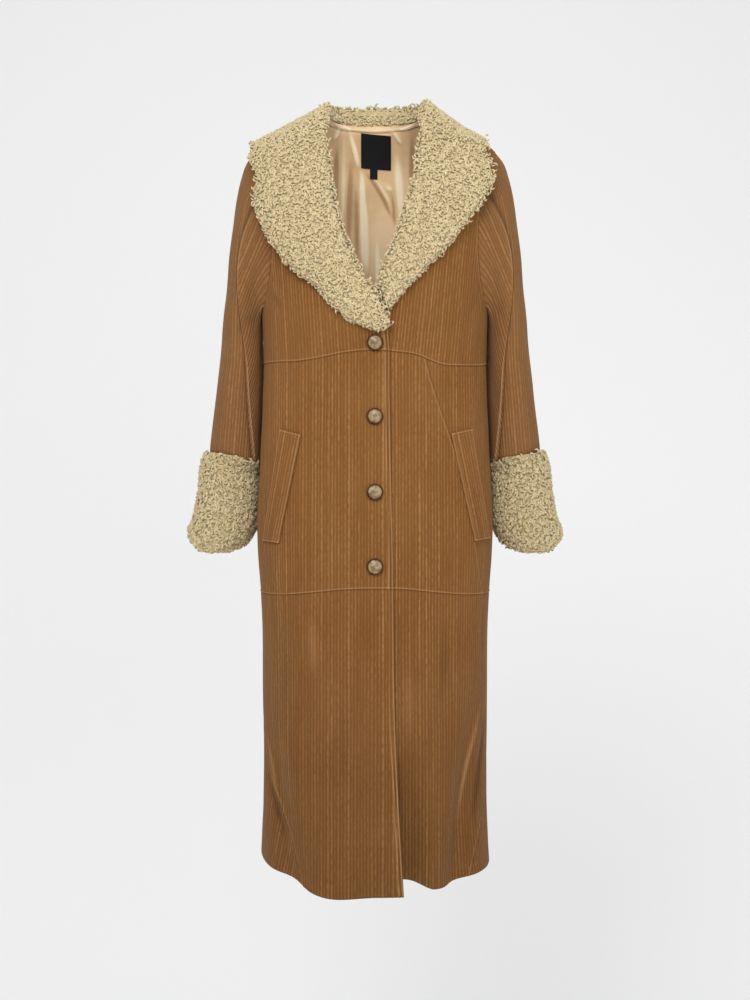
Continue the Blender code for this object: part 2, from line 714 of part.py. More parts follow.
def collar_half(side, sign, table, rows, count):
    """Outer sections from the centre back to the gorge on one side, and the gorge's inner points."""
    knots = []
    for step in range(len(COLLAR["neck_x"])):
        spots = [np.array([COLLAR[f"{spot}_{axis}"][step] for axis in ("x", "y", "level")])
                 for spot in ("neck", "top", "edge")]
        spots[2][0] *= COLLAR_REACH[side]
        knots.append(mirrored(collar_section(*spots, rows), sign))
    lifts = np.array([GORGE_RISE[side], GORGE_GAP])
    roll_x = table["roll_x"][0] + sign * lifts * GORGE_ROLL_SLOPE
    edge_x = table["edge_x"][0] + sign * lifts * GORGE_EDGE_SLOPE
    outer, inner = lapel_walls(side, roll_x, table["roll_level"][0] + lifts, edge_x,
                               table["edge_level"][0] + lifts, rows)
    knots.extend(outer)
    knots = np.stack(knots)
    steps = np.linspace(0, len(knots) - 1, count)
    sections = np.empty((count, rows, 3))
    for row in range(rows):
        for axis in range(3):
            sections[:, row, axis] = smooth(np.arange(len(knots)), knots[:, row, axis], steps)
    return sections, inner[-1]


def outside(points):
    """How far points lie outside the coat's surface, level by level; above the neck all are outside."""
    level = points[..., 2]
    half_width = smooth(BODY["level"], BODY["half_width"], level)
    front = smooth(BODY["level"], BODY["front"], level)
    back = smooth(BODY["level"], BODY["back"], level)
    depth = np.where(points[..., 1] < 0, front, back)
    across = np.abs(points[..., 0]) / half_width
    along_it = np.abs(points[..., 1]) / depth
    size = (across**RING_POWER + along_it**RING_POWER) ** (1 / RING_POWER)
    reach = np.hypot(points[..., 0], points[..., 1])
    above = level > NECK_TOP + COLLAR_LIFT
    return np.where(above, 1.0, reach * (1 - 1 / np.maximum(size, 1e-6)))


def seated(outer, normal, thick, clearance):
    """Points under a wall, as thick as asked but never nearer to the coat than the clearance."""
    low = np.full(outer.shape[:2], FUR_LEAST)
    high = np.broadcast_to(thick, outer.shape[:2]).copy()
    for _ in range(THICKNESS_TRIES):
        middle = (low + high) / 2
        clear = outside(outer - middle[..., None] * normal) > clearance
        low = np.where(clear, middle, low)
        high = np.where(clear, high, middle)
    return outer - low[..., None] * normal


def collar():
    right, right_end = collar_half("right", -1, LAPEL_RIGHT, COLLAR_ROWS, COLLAR_COLUMNS)
    left, left_end = collar_half("left", 1, LAPEL_LEFT, COLLAR_ROWS, COLLAR_COLUMNS)
    outer = np.concatenate([right[::-1], left[1:]]).transpose(1, 0, 2)
    across = np.gradient(outer, axis=1)
    down = np.gradient(outer, axis=0)
    normal = np.cross(across, down)
    normal /= np.linalg.norm(normal, axis=-1, keepdims=True)
    short = np.maximum(COLLAR_CLEAR + FUR_LEAST + COLLAR_LIFT - outside(outer), 0)
    short[:STAND_ROWS] = 0
    outer = outer + short[..., None] * normal
    inner = seated(outer, normal, puff(np.linspace(0, 1, COLLAR_ROWS))[:, None], COLLAR_CLEAR)
    inner[:, 0] = right_end
    inner[:, -1] = left_end
    solid("collar", outer, inner, "fur")


# Buttons
def buttons():
    """Turned buttons: a raised rim round a low dome."""
    profile = [
        (0.00, 1.00), (0.36, 0.96), (0.62, 0.80), (0.70, 0.70), (0.79, 0.86), (0.90, 0.88), (1.00, 0.52),
        (0.84, 0.00), (0.00, 0.00),
    ]
    for number, level in enumerate(BUTTON_LEVELS, 1):
        name = f"button_{number}"
        mesh = bpy.data.meshes.new(name)
        points = [(BUTTON_RADIUS * reach, 0.0, BUTTON_HEIGHT * height) for reach, height in profile]
        links = [(row, row + 1) for row in range(len(points) - 1)]
        mesh.from_pydata(points, links, [])
        mesh.materials.append(material("button_brown"))
        thing = bpy.data.objects.new(name, mesh)
        COLLECTION.objects.link(thing)
        spin = thing.modifiers.new("turn", "SCREW")
        spin.axis = "Z"
        spin.steps = BUTTON_STEPS
        spin.render_steps = BUTTON_STEPS
        spin.use_merge_vertices = True
        spin.merge_threshold = 0.00005
        normal = facing(body, np.array(0.0), np.array(level))
        spot = body(0.0, level) + normal * BUTTON_GAP
        thing.location = tuple(spot)
        thing.rotation_euler = (math.atan2(-normal[1], normal[2]), 0.0, 0.0)


def main():
    clear_scene()
    upper_panels()
    waist_panels()
    skirt_panels()
    pocket_welts()
    lining()
    labels()
    sleeves()
    cuffs()
    lapels()
    collar()
    buttons()


main()
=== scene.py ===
"""Dresses the coat's solids as corduroy, curly fur, satin and polished buttons.

Metres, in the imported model's frame: +Z up, the front faces -Y, the wearer's right side is at -X.
"""

import math

import bpy
import numpy as np
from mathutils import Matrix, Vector


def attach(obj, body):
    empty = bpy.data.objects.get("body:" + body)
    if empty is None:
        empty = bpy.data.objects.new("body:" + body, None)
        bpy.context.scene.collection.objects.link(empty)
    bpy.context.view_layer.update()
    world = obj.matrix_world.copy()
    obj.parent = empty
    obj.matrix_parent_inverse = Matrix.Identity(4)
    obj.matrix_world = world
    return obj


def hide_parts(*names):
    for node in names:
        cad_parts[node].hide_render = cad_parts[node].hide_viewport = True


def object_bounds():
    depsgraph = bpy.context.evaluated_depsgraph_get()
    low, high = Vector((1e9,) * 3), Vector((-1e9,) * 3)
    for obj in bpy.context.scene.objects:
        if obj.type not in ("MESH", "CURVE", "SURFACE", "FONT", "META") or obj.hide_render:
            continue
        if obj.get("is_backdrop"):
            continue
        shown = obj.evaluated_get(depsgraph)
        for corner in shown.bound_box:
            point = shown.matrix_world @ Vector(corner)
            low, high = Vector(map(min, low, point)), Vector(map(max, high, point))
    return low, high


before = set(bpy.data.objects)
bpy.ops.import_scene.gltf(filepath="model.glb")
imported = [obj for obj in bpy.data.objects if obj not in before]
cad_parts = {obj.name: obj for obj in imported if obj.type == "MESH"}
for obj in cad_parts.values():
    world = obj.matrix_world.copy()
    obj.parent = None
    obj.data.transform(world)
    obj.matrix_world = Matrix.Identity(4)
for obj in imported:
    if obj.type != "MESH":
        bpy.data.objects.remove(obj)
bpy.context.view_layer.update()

# Sign of x on the wearer's two sides
SIGNS = {"right": -1, "left": 1}

# Driving sizes
CLOTH = 0.002
LINING = 0.001
LINING_GAP = 0.0005
SEAM_GAP = 0.0003
SEAM_SPARE = 0.0001
RING_POWER = 2.3
RING_RADIUS = 0.12
SHOULDER_LEVEL = -0.062
UNDERARM_LEVEL = -0.335
NECK_TOP = -0.004
NECK_DIP_FRONT, NECK_DIP_BACK = 0.016, 0.001
WAIST_SIDE = -0.417
HIP_FRONT, HIP_SIDE, HIP_SHARPNESS = -0.777, -0.790, 6
HEM = -1.234
LAP_DEPTH = 0.005
LAP_TURN, LAP_BLEND = math.radians(26), math.radians(14)
LAP_TOP, LAP_TOP_BLEND = -0.270, 0.040
SWING_DEPTH, SWING_TOP, SWING_LENGTH = 0.036, -0.950, 0.300

# Fur
FUR_GAP = 0.0007
FUR_THICK = 0.014
FUR_EDGE = 0.007
LAPEL_SPREAD = 0.035
GORGE_GAP = 0.0006
GORGE_RISE = {"right": 0.032, "left": 0.010}
GORGE_ROLL_SLOPE, GORGE_EDGE_SLOPE = 0.1, 0.4
COLLAR_REACH = {"right": 0.985, "left": 0.870}
COLLAR_DROP = {"right": (0.0, 0.010, -0.006), "left": (0.0, 0.0, -0.012)}
COLLAR_KNOTS = (0.0, 0.22, 0.34, 0.66, 1.0)
FALL_NEAR, FALL_MIDDLE = 0.14, 0.55
COLLAR_LIFT = 0.002
FUR_LEAST = 0.003
COLLAR_CLEAR = 0.009
STAND_ROWS = 3
LIFT_ROUNDS, LIFT_SHARE = 6, 0.45
THICKNESS_TRIES = 24
PUFF_SHARPNESS = 4

# Sleeves and cuffs
WRIST, WRIST_LEAN = -0.5675, 0.0085
CUFF_END, CUFF_ROUND, CUFF_ROUND_START = -0.726, 0.021, -0.660
CUFF_SHARPNESS = 4
CUFF_LEAN_END = -0.600
CUFF_WALL = 0.012
SLEEVE_ROWS = np.array([0.0, 0.04, 0.10, 0.17, 0.25, 0.34, 0.44, 0.55, 0.66, 0.77, 0.89, 1.0])
ARMHOLE_EASE = 0.997
CAP_HOLD, UNDERARM_HOLD = 5, 11
SPREAD_ONSET = 1.6
RIM_TURN, RIM_BLEND = math.radians(50), math.radians(60)

# Small pieces
BUTTON_RADIUS = 0.013
BUTTON_HEIGHT = 0.0062
BUTTON_LEVELS = (-0.393, -0.509, -0.627, -0.742)
LABEL_WIDTH, LABEL_TOP, LABEL_LOW = 0.052, -0.013, -0.066
TAB_WIDTH, TAB_LOW = 0.013, -0.083
LABEL_SHIFT, TAB_SHIFT, LABEL_TILT = 0.0018, -0.0022, 0.08
LABEL_THICK = 0.0008
LABEL_GAP = 0.0007
WELT_GAP = 0.0010
BUTTON_GAP = 0.0006

# Rings of the body: level, half width, depth in front, depth behind
BODY = {
    "level": [-1.260, -1.234, -1.140, -0.940, -0.840, -0.790, -0.690, -0.5645, -0.500, -0.410, -0.335,
              -0.200, -0.100, -0.062, -0.030, -0.012, 0.000],
    "half_width": [0.189, 0.188, 0.184, 0.184, 0.1855, 0.188, 0.1940, 0.1890, 0.186, 0.1835, 0.186,
                   0.193, 0.199, 0.194, 0.134, 0.099, 0.076],
    "front": [0.170, 0.168, 0.163, 0.153, 0.145, 0.140, 0.134, 0.125, 0.120, 0.113, 0.119,
              0.112, 0.095, 0.085, 0.075, 0.063, 0.055],
    "back": [0.152, 0.150, 0.145, 0.135, 0.128, 0.125, 0.118, 0.107, 0.102, 0.097, 0.104,
             0.108, 0.100, 0.092, 0.077, 0.066, 0.060],
}

# Armhole edge, front and back: level, angle from the front (or back) centre in degrees
ARMHOLE = {
    "level": [-0.335, -0.325, -0.300, -0.260, -0.200, -0.140, -0.100, -0.075, -0.062],
    "turn": [90.0, 76.0, 66.0, 60.0, 57.0, 60.0, 66.0, 76.0, 90.0],
}

# Levels of the bodice's rows; the armhole lies between the shoulder and the underarm
UPPER_LEVELS = np.array([NECK_TOP, -0.020, -0.036, -0.052, SHOULDER_LEVEL, -0.068, -0.077, -0.100,
                         -0.135, -0.170, -0.205, -0.240, -0.270, -0.295, -0.312, -0.325, -0.331,
                         UNDERARM_LEVEL, -0.360, WAIST_SIDE])

# Front edges, from the roll of the lapel down to the hem: level, x
FRONT_EDGES = {
    "right": {
        "level": [-1.260, -1.140, -0.990, -0.840, -0.740, -0.630, -0.480, -0.385, -0.337, -0.312, -0.276,
                  -0.240, -0.190, -0.146, -0.100, -0.053, 0.000],
        "x": [0.0462, 0.0390, 0.0320, 0.0294, 0.0286, 0.0264, 0.0238, 0.0218, 0.0140, -0.0012, -0.0265,
              -0.040, -0.056, -0.064, -0.070, -0.0745, -0.0755],
    },
    "left": {
        "level": [-1.260, -0.480, -0.390, -0.345, -0.310, -0.265, -0.206, -0.171, -0.138, -0.097, -0.053,
                  0.000],
        "x": [-0.025, -0.025, -0.024, -0.014, 0.001, 0.0165, 0.038, 0.051, 0.0583, 0.063, 0.068, 0.0755],
    },
}

# Waist seam in front: angle in degrees, positive to the left, and level
WAIST = {
    "turn": [-90.0, -57.0, -37.0, -25.0, -12.0, 0.0, 10.0, 17.0, 25.0, 32.0, 43.0, 57.0, 90.0],
    "level": [WAIST_SIDE, -0.4190, -0.4200, -0.4162, -0.4092, -0.4055, -0.4080, -0.4110, -0.4205, -0.4265,
              -0.4270, -0.4250, WAIST_SIDE],
}

# Side seams of the skirt swing forward near the hem: level, angle from the front in degrees by side
SIDE_SEAMS = {
    "level": [-1.260, -1.200, -1.150, -1.100, -1.020, -0.900, -0.780],
    "right": [32.0, 41.0, 52.0, 63.0, 78.0, 88.0, 90.0],
    "left": [50.0, 57.0, 66.0, 75.0, 84.0, 89.0, 90.0],
}

# Hem by side: angle from the front in degrees, level
HEMS = {
    "right": {
        "turn": [0.0, 20.0, 30.0, 36.0, 46.0, 60.0, 76.0, 90.0, 120.0, 180.0],
        "level": [-1.243, -1.247, -1.241, -1.235, -1.226, -1.2200, -1.2155, -1.2150, -1.222, -1.233],
    },
    "left": {
        "turn": [0.0, 12.0, 27.0, 36.0, 51.0, 90.0, 180.0],
        "level": [-1.227, -1.229, -1.2355, -1.2355, -1.229, -1.231, -1.233],
    },
}

# Seam from the waist down the inner edge of the pocket welt: level, distance from the centre
POCKET_SEAM = {
    "level": [-0.800, -0.705, -0.534, -0.470, -0.390],
    "x": [0.174, 0.1595, 0.1192, 0.0960, 0.072],
}

# Pocket welts: x and level of the inner and outer edge at the top and the bottom
WELTS = {
    "right": {"inner": [(-0.1148, -0.536), (-0.1500, -0.708)],
              "outer": [(-0.1500, -0.526), (-0.1780, -0.705)]},
    "left": {"inner": [(0.1180, -0.534), (0.1560, -0.705)],
             "outer": [(0.1530, -0.525), (0.1830, -0.701)]},
}

# Large folds of the skirt, at full depth some way down: angle in degrees and level at both ends,
# depth, half width in degrees
FOLDS = {
    "top_turn": [62.0, -66.0, 118.0, -128.0, 152.0, -160.0],
    "top_level": [-0.88, -0.95, -0.86, -0.90, -0.95, -1.00],
    "low_turn": [41.0, -40.0, 112.0, -118.0, 148.0, -156.0],
    "low_level": [-1.26, -1.26, -1.26, -1.26, -1.26, -1.26],
    "depth": [0.017, 0.012, 0.010, 0.012, 0.008, 0.009],
    "half_width": [9.0, 10.0, 11.0, 12.0, 10.0, 11.0],
}
FOLD_ONSET = 1.4

TUBE_COLUMNS = ("inner", "outer", "half_depth", "centre_y")

# Sleeve rings: level, inner and outer x, half depth, y of the centre
SLEEVE = {
    "level": [-0.5645, -0.490, -0.391, -0.341, -0.291, -0.242, -0.192, -0.142, -0.109, -0.085, -0.062],
    "inner": [0.1900, 0.1872, 0.1852, 0.1876, 0.1878, 0.1840, 0.1790, 0.1700, 0.1620, 0.1600, 0.1600],
    "outer": [0.2755, 0.2675, 0.2560, 0.2510, 0.2450, 0.2410, 0.2350, 0.2280, 0.2210, 0.2130, 0.1950],
    "half_depth": [0.055, 0.057, 0.060, 0.062, 0.064, 0.066, 0.066, 0.062, 0.054, 0.044, 0.034],
    "centre_y": [0.012, 0.016, 0.016, 0.009, 0.005, 0.002, 0.0, 0.0, 0.0, 0.0, 0.0],
}

# Front seam of the sleeve, as an angle round its ring from the outer side: level, degrees
SLEEVE_SEAM = {
    "level": [-0.5645, -0.500, -0.400, -0.300, -0.200, -0.100],
    "turn": [138.0, 124.0, 108.0, 92.0, 70.0, 45.0],
}
SLEEVE_BACK_SEAM = 232.0
# Where the two sleeve seams meet the armhole, counted along its points
ARMHOLE_BACK_POINT, ARMHOLE_FRONT_POINT = 5, 17

# Cuff rings: level, inner and outer x, half depth, y of the centre, how far back the inner side lies
CUFF = {
    "level": [CUFF_END, -0.712, -0.695, -0.660, -0.620, -0.585, WRIST],
    "inner": [0.2085, 0.2035, 0.1960, 0.1900, 0.1890, 0.1890, 0.1915],
    "outer": [0.3070, 0.3100, 0.3080, 0.3000, 0.2935, 0.2900, 0.2835],
    "half_depth": [0.068, 0.071, 0.072, 0.071, 0.069, 0.066, 0.062],
    "centre_y": [0.006, 0.0065, 0.007, 0.008, 0.010, 0.0115, 0.012],
    "inner_back": [0.030, 0.030, 0.030, 0.030, 0.030, 0.025, 0.0],
}

# Lapels from the collar down to the tip: x and level of the roll line and the outer edge
LAPELS = {
    "right": {
        "roll_x": [-0.0720, -0.0680, -0.0590, -0.0425, -0.0205, 0.0040, 0.0255],
        "roll_level": [-0.0890, -0.1250, -0.1800, -0.2330, -0.2850, -0.3190, -0.3640],
        "edge_x": [-0.1850, -0.1920, -0.1800, -0.1430, -0.0950, -0.0460, 0.0040],
        "edge_level": [-0.1280, -0.1580, -0.1980, -0.2640, -0.3060, -0.3570, -0.3775],
    },
    "left": {
        "roll_x": [0.0690, 0.0640, 0.0560, 0.0380, 0.0205, 0.0050, 0.0180],
        "roll_level": [-0.0660, -0.1000, -0.1500, -0.2050, -0.2550, -0.3000, -0.3390],
        "edge_x": [0.1760, 0.1880, 0.1740, 0.1400, 0.1040, 0.0620, 0.0225],
        "edge_level": [-0.0860, -0.1230, -0.1610, -0.2080, -0.2540, -0.2980, -0.3400],
    },
}

# Collar sections over one shoulder, from the centre back to the front of the shoulder
COLLAR = {
    "neck_x": [0.000, 0.038, 0.064, 0.0755, 0.0715],
    "neck_y": [0.0600, 0.0530, 0.0330, 0.0000, -0.0560],
    "neck_level": [-0.0010, -0.0005, 0.0005, 0.0010, -0.0100],
    "top_x": [0.000, 0.044, 0.073, 0.0840, 0.0860],
    "top_y": [0.0860, 0.0760, 0.0460, 0.0020, -0.0540],
    "top_level": [0.0360, 0.0335, 0.0280, 0.0200, 0.0020],
    "edge_x": [0.000, 0.085, 0.152, 0.2000, 0.2050],
    "edge_y": [0.1230, 0.1130, 0.0850, 0.0000, -0.0480],
    "edge_level": [-0.0900, -0.0850, -0.0700, -0.0530, -0.0760],
}

# Fine steps of the cloth
EDGE_STEPS = (0.0, 0.0007, 0.0015, 0.0026, 0.0042, 0.0062, 0.0085, 0.0110, 0.0140)
ROW_STEP, COLUMN_STEP = 0.013, 0.0050
ROW_PARTS, SLEEVE_PARTS = 3, 6
LEAST_STEP = 0.0005
# For slopes, and against division by nothing
NUDGE, LEAST_LENGTH, LEAST_AREA = 1e-4, 1e-6, 1e-12
INNER_ROLL = 0.5
CREASE_POINTS, CREASE_REACH = 48, 4.0
CREASE_BOW, CREASE_START, CREASE_SPAN = 0.12, 0.04, 0.92
SWELL_WAVES, SWELL_LENGTHS, SWELL_LEAN, SWELL_HEIGHT = 9, (0.045, 0.160), 0.5, 0.0012
SWELL_FADE = 0.030
LINING_SLACK, LABEL_SLACK, LABEL_STEP = 0.0006, 0.0012, 0.002
LINING_DEPTH = CLOTH + LINING_GAP + LINING + LINING_SLACK
LABEL_DEPTH = LINING_DEPTH + LABEL_GAP + LABEL_SLACK
LINING_RAISE, LINING_PARTS, LINING_COLUMNS = 0.0035, 2, 60
LINING_DIP, LINING_RISE = -0.0003, 0.0013
LINING_HALVES = {"lining_left": (0.06, 0.5011), "lining_right": (0.4989, 0.94)}
# How far panels reach past the pocket seams and the armholes, as angles round the body
SEAM_REACH, ARM_REACH = 0.0013, 0.0026
WELT_LENGTH, WELT_WIDTH = 0.176, 0.036
SLEEVE_MIDDLE = {"top": 0.0, "under": math.pi}
SLEEVE_LEAN = {"top": 0.0, "under": -0.35}
SLEEVE_FOLD = {"top": "lifted", "under": "tucked"}
GRAIN_LEAN = {"front_right_upper": 0.06, "front_left_upper": -0.10}
RUN_STEPS = 40
SHARP_ANGLE = math.radians(50)
# How strongly creases, and how high a rise, paint highlight and shade into the cloth's tone
CREASE_PAINTED_LIGHT, PAINTED_LIGHT_RISE = 0.35, 0.0026

# Forms beside an edge: distance from it, half width, rise; the rise is also painted, as highlight where it
# is raised and as shade where it is sunk
EDGE_FORMS = {
    "flat": [],
    "facing": [(0.0, 0.0012, -0.0004), (0.0060, 0.0036, 0.0007), (0.0112, 0.0012, -0.0010)],
    "woven": [(0.0, 0.0012, -0.0003), (0.0032, 0.0009, 0.0003)],
    "seam": [(0.0, 0.0012, -0.0006)],
    "soft": [(0.0, 0.0011, -0.0004), (0.0030, 0.0020, 0.0007)],
    "sleeve": [(0.0, 0.0011, -0.0010), (0.0032, 0.0022, 0.0006)],
    "lifted": [(0.0, 0.0040, -0.0012)],
    "tucked": [(0.0, 0.0022, -0.0012), (0.0075, 0.0036, 0.0015)],
    "hem": [(0.0, 0.0016, -0.0010), (0.0300, 0.0030, -0.0004)],
    "ridge": [(0.0, 0.0009, -0.0010), (0.0022, 0.0014, 0.0009)],
    "fold": [(0.0, 0.0008, -0.0010), (0.0018, 0.0012, 0.0013), (0.0044, 0.0011, -0.0007),
             (0.0072, 0.0016, 0.0010)],
}

# Sewn edges, and how far the inner side of the cloth reaches past them
SEWN_FORMS = ("seam", "soft", "sleeve", "lifted", "tucked")
SEAM_ALLOWANCE = 0.0016

# Creases of the body: angle in degrees and level at both ends, rise, half width; a raised crease is also
# painted lighter as highlight, a sunk one darker as shade
BODY_CREASES = [
    (-38.4, -0.306, -32.8, -0.394, -0.0010, 0.0034), (-36.0, -0.308, -30.6, -0.394, 0.0006, 0.0034),
    (-64.0, -0.300, -50.0, -0.345, -0.0018, 0.0070), (-60.0, -0.268, -47.0, -0.312, -0.0014, 0.0062),
    (20.5, -0.300, 23.5, -0.394, 0.0009, 0.0040), (26.0, -0.295, 27.5, -0.397, -0.0011, 0.0050),
    (30.0, -0.300, 30.5, -0.400, 0.0009, 0.0042), (34.5, -0.306, 33.5, -0.400, -0.0010, 0.0050),
    (62.0, -0.300, 52.0, -0.352, -0.0016, 0.0070), (58.0, -0.260, 49.0, -0.290, -0.0011, 0.0060),
    (-58.0, -0.422, -44.0, -0.458, -0.0012, 0.0080), (56.0, -0.426, 45.0, -0.472, -0.0012, 0.0080),
    (-20.0, -0.430, -24.0, -0.522, -0.0007, 0.0080), (15.0, -0.420, 18.0, -0.500, -0.0007, 0.0070),
    (-30.0, -0.800, -27.0, -0.930, 0.0014, 0.0120), (-50.0, -0.820, -46.0, -1.000, -0.0010, 0.0140),
    (34.0, -0.810, 32.0, -0.980, -0.0016, 0.0120), (14.0, -0.850, 13.0, -1.050, 0.0012, 0.0120),
    (-14.0, -0.900, -11.0, -1.120, -0.0013, 0.0130), (70.0, -0.790, 66.0, -0.900, -0.0018, 0.0110),
    (70.0, -0.935, 46.0, -1.165, 0.0026, 0.0055), (78.0, -0.965, 57.0, -1.170, -0.0036, 0.0090),
    (-72.0, -1.000, -58.0, -1.120, 0.0022, 0.0055), (-74.0, -1.060, -50.0, -1.190, -0.0028, 0.0080),
    (150.0, -0.330, 166.0, -0.385, -0.0016, 0.0080), (212.0, -0.340, 196.0, -0.390, -0.0018, 0.0090),
    (128.0, -0.290, 142.0, -0.340, -0.0016, 0.0070), (236.0, -0.280, 220.0, -0.335, -0.0015, 0.0070),
    (165.0, -0.430, 150.0, -0.490, -0.0012, 0.0090), (198.0, -0.425, 214.0, -0.500, -0.0014, 0.0100),
    (170.0, -0.800, 168.0, -1.020, -0.0020, 0.0140), (205.0, -0.820, 207.0, -1.080, -0.0024, 0.0160),
    (135.0, -0.800, 131.0, -0.960, -0.0018, 0.0130), (185.0, -0.900, 186.0, -1.150, 0.0018, 0.0140),
]

# Creases of the lining, by x, raised towards the hollow; their form is clipped, their full height painted as
# highlight and shade
LINING_CREASES = [
    (-0.0232, -0.062, -0.0205, -0.235, 0.0064, 0.0048), (-0.0170, -0.125, -0.0140, -0.250, 0.0040, 0.0040),
    (-0.0205, -0.066, 0.0285, -0.148, -0.0056, 0.0036), (-0.0140, -0.070, 0.0330, -0.142, 0.0034, 0.0036),
    (-0.0415, -0.046, -0.0470, -0.200, -0.0046, 0.0055),
    (-0.0655, -0.026, -0.0690, -0.135, -0.0044, 0.0055),
    (-0.0545, -0.008, -0.0560, -0.185, 0.0026, 0.0055), (-0.0600, -0.004, -0.0690, -0.022, 0.0046, 0.0030),
    (-0.0445, -0.010, -0.0290, -0.064, 0.0050, 0.0034), (0.0370, -0.038, 0.0460, -0.155, 0.0044, 0.0060),
    (0.0650, -0.010, 0.0640, -0.115, -0.0044, 0.0050), (0.0310, -0.010, 0.0450, -0.027, 0.0040, 0.0026),
    (0.0165, -0.095, 0.0305, -0.100, 0.0036, 0.0026), (0.0285, -0.104, 0.0350, -0.165, -0.0040, 0.0034),
    (0.0030, -0.180, 0.0060, -0.300, 0.0034, 0.0045), (-0.0330, -0.080, -0.0310, -0.240, -0.0040, 0.0045),
    (-0.0700, -0.002, -0.0440, -0.008, 0.0046, 0.0024), (0.0440, -0.008, 0.0690, -0.002, 0.0046, 0.0024),
    (0.1000, -0.150, 0.0660, -0.300, 0.0024, 0.0090), (-0.1000, -0.140, -0.0600, -0.310, 0.0026, 0.0090),
]

# Creases of the sleeves: angle round the sleeve from its outer side; like the body's, they are also painted
# as highlight and shade
SLEEVE_CREASES = {
    "right": [
        (70.0, -0.362, 20.0, -0.386, -0.0016, 0.0080), (98.0, -0.404, 46.0, -0.430, -0.0013, 0.0075),
        (150.0, -0.330, 112.0, -0.362, -0.0018, 0.0080), (204.0, -0.372, 152.0, -0.402, -0.0018, 0.0090),
        (-60.0, -0.352, -18.0, -0.376, -0.0016, 0.0080), (-104.0, -0.410, -52.0, -0.444, -0.0014, 0.0090),
        (62.0, -0.500, 22.0, -0.528, -0.0010, 0.0080), (40.0, -0.120, 24.0, -0.205, -0.0009, 0.0090),
    ],
    "left": [
        (62.0, -0.345, 12.0, -0.372, -0.0015, 0.0085), (104.0, -0.388, 52.0, -0.421, -0.0015, 0.0080),
        (146.0, -0.318, 108.0, -0.350, -0.0016, 0.0075), (196.0, -0.384, 148.0, -0.416, -0.0018, 0.0090),
        (-52.0, -0.366, -10.0, -0.390, -0.0014, 0.0080), (-96.0, -0.426, -44.0, -0.455, -0.0015, 0.0090),
        (80.0, -0.470, 34.0, -0.498, -0.0011, 0.0080), (52.0, -0.130, 30.0, -0.215, -0.0010, 0.0095),
    ],
}

# Stitches
STITCH_PITCH, STITCH_LENGTH, STITCH_RADIUS = 0.0040, 0.0030, 0.00042
STITCH_RINGS, STITCH_SIDES = 4, 4
STITCH_SINK, STITCH_BLUNT = 0.4, 1.05
# Stitched lines of a group: panels, edges, distance from them
STITCHED = {
    "stitches_front_edge": (("front_right_upper", "front_right_waist_center", "front_right_skirt"),
                            ("end",), 0.0044),
    "stitches_pockets": (("welt_right", "welt_left"), ("start", "end", "top", "foot"), 0.0080),
}

# Fur in fine steps
CURL_RINGS, CURL_SIDES = 5, 4
CURL_SCATTER, CURL_BEND, CURL_LENGTHS, CURL_LIFTS = 1.3, (2.0, 4.4), (0.75, 1.3), (0.5, 1.25)
CURL_RISE, CURL_ROOT, CURL_SKIN, CURL_THICK = 0.0034, 0.0006, 0.0036, 0.205
FRINGE_RISE, FRINGE_THIN, FRINGE_CLOSER = 0.0050, 0.8, 0.85
CUFF_FRINGE = 0.0026
FUR_INSET, SEWN_INSET = 0.0030, 0.0090
# Shares of a lock's length or height: where it bends, rises, is thickest, and where its painted root shade
# gives way to a light tip
CURL_TURN_START, CURL_FOOT, CURL_PEAK, FRINGE_PEAK = 0.3, 0.1, 0.75, 0.40
CURL_THICKNESSES = (0.75, 1.25)
CURL_SWELL_START, CURL_SWELL_SPAN, CURL_SWELL_POWER = 0.22, 0.765, 0.7
CURL_TONE_RANDOM, CURL_ROOT_SHADE_START, CURL_ROOT_SHADE_SPAN = 0.35, 0.15, 1.3
FUR_SEEDS = {"cuff_right": 31, "cuff_left": 32, "lapel_right": 41, "lapel_left": 42, "collar": 51}
# Edges of a grid of points, each with the line beside it
GRID_EDGES = {
    "top": ((0, slice(None)), (1, slice(None))),
    "foot": ((-1, slice(None)), (-2, slice(None))),
    "start": ((slice(None), 0), (slice(None), 1)),
    "end": ((slice(None), -1), (slice(None), -2)),
}
# Tone of the fur backing between the locks: a mid value of the painted root shade
BACKING_PAINTED_SHADE = 0.45
COLLAR_FINE_ROWS, COLLAR_FINE_COLUMNS = 28, 60
LAPEL_FINE_ROWS, LAPEL_FINE_COLUMNS = 48, 20
CUFF_FINE_ROWS, CUFF_FINE_COLUMNS = 26, 64
COLLAR_CURL, COLLAR_SPACING = 0.0086, 0.0035
LAPEL_CURL, LAPEL_SPACING = 0.0092, 0.0035
CUFF_CURL, CUFF_SPACING = 0.0108, 0.0041

# Buttons: reach and height as shares of the radius and the height, from the dome's top to the back
BUTTON_PROFILE = [
    (0.002, 1.000), (0.16, 0.995), (0.32, 0.975), (0.48, 0.930), (0.62, 0.860), (0.72, 0.770), (0.78, 0.680),
    (0.81, 0.700), (0.84, 0.770), (0.88, 0.810), (0.93, 0.790), (0.975, 0.680), (1.00, 0.500), (0.97, 0.300),
    (0.90, 0.120), (0.84, 0.000), (0.002, 0.000),
]
BUTTON_DOME_ROWS = 6
BUTTON_FINE_STEPS = 48

# Grain of the corduroy: changes in a metre across it and along it, detail
GRAIN = {
    "wander": (30.0, 3.0, 1.0),
    "dash": (170.0, 115.0, 2.0),
    "streak": (90.0, 9.0, 2.0),
    "nap": (1100.0, 420.0, 3.0),
    "weft": (240.0, 620.0, 2.0),
}
WALES_PER_METRE, WALE_RANDOM, WALE_WANDER = 190.0, 0.5, 0.0006
WALE_HEIGHT, NAP_HEIGHT, WALE_SHINE = 0.0007, 0.0004, 0.7
# Changes in a metre of the other finishes
CLOTH_PATCHES, FUR_PATCHES, FUR_CLUMPS, FUR_STRANDS = 9.0, 38.0, 210.0, 900.0
SATIN_PATCHES, SATIN_THREADS, TAPE_RIBS, THREAD_TWISTS, BUTTON_STREAKS = 14.0, 700.0, 320.0, 2200.0, 160.0
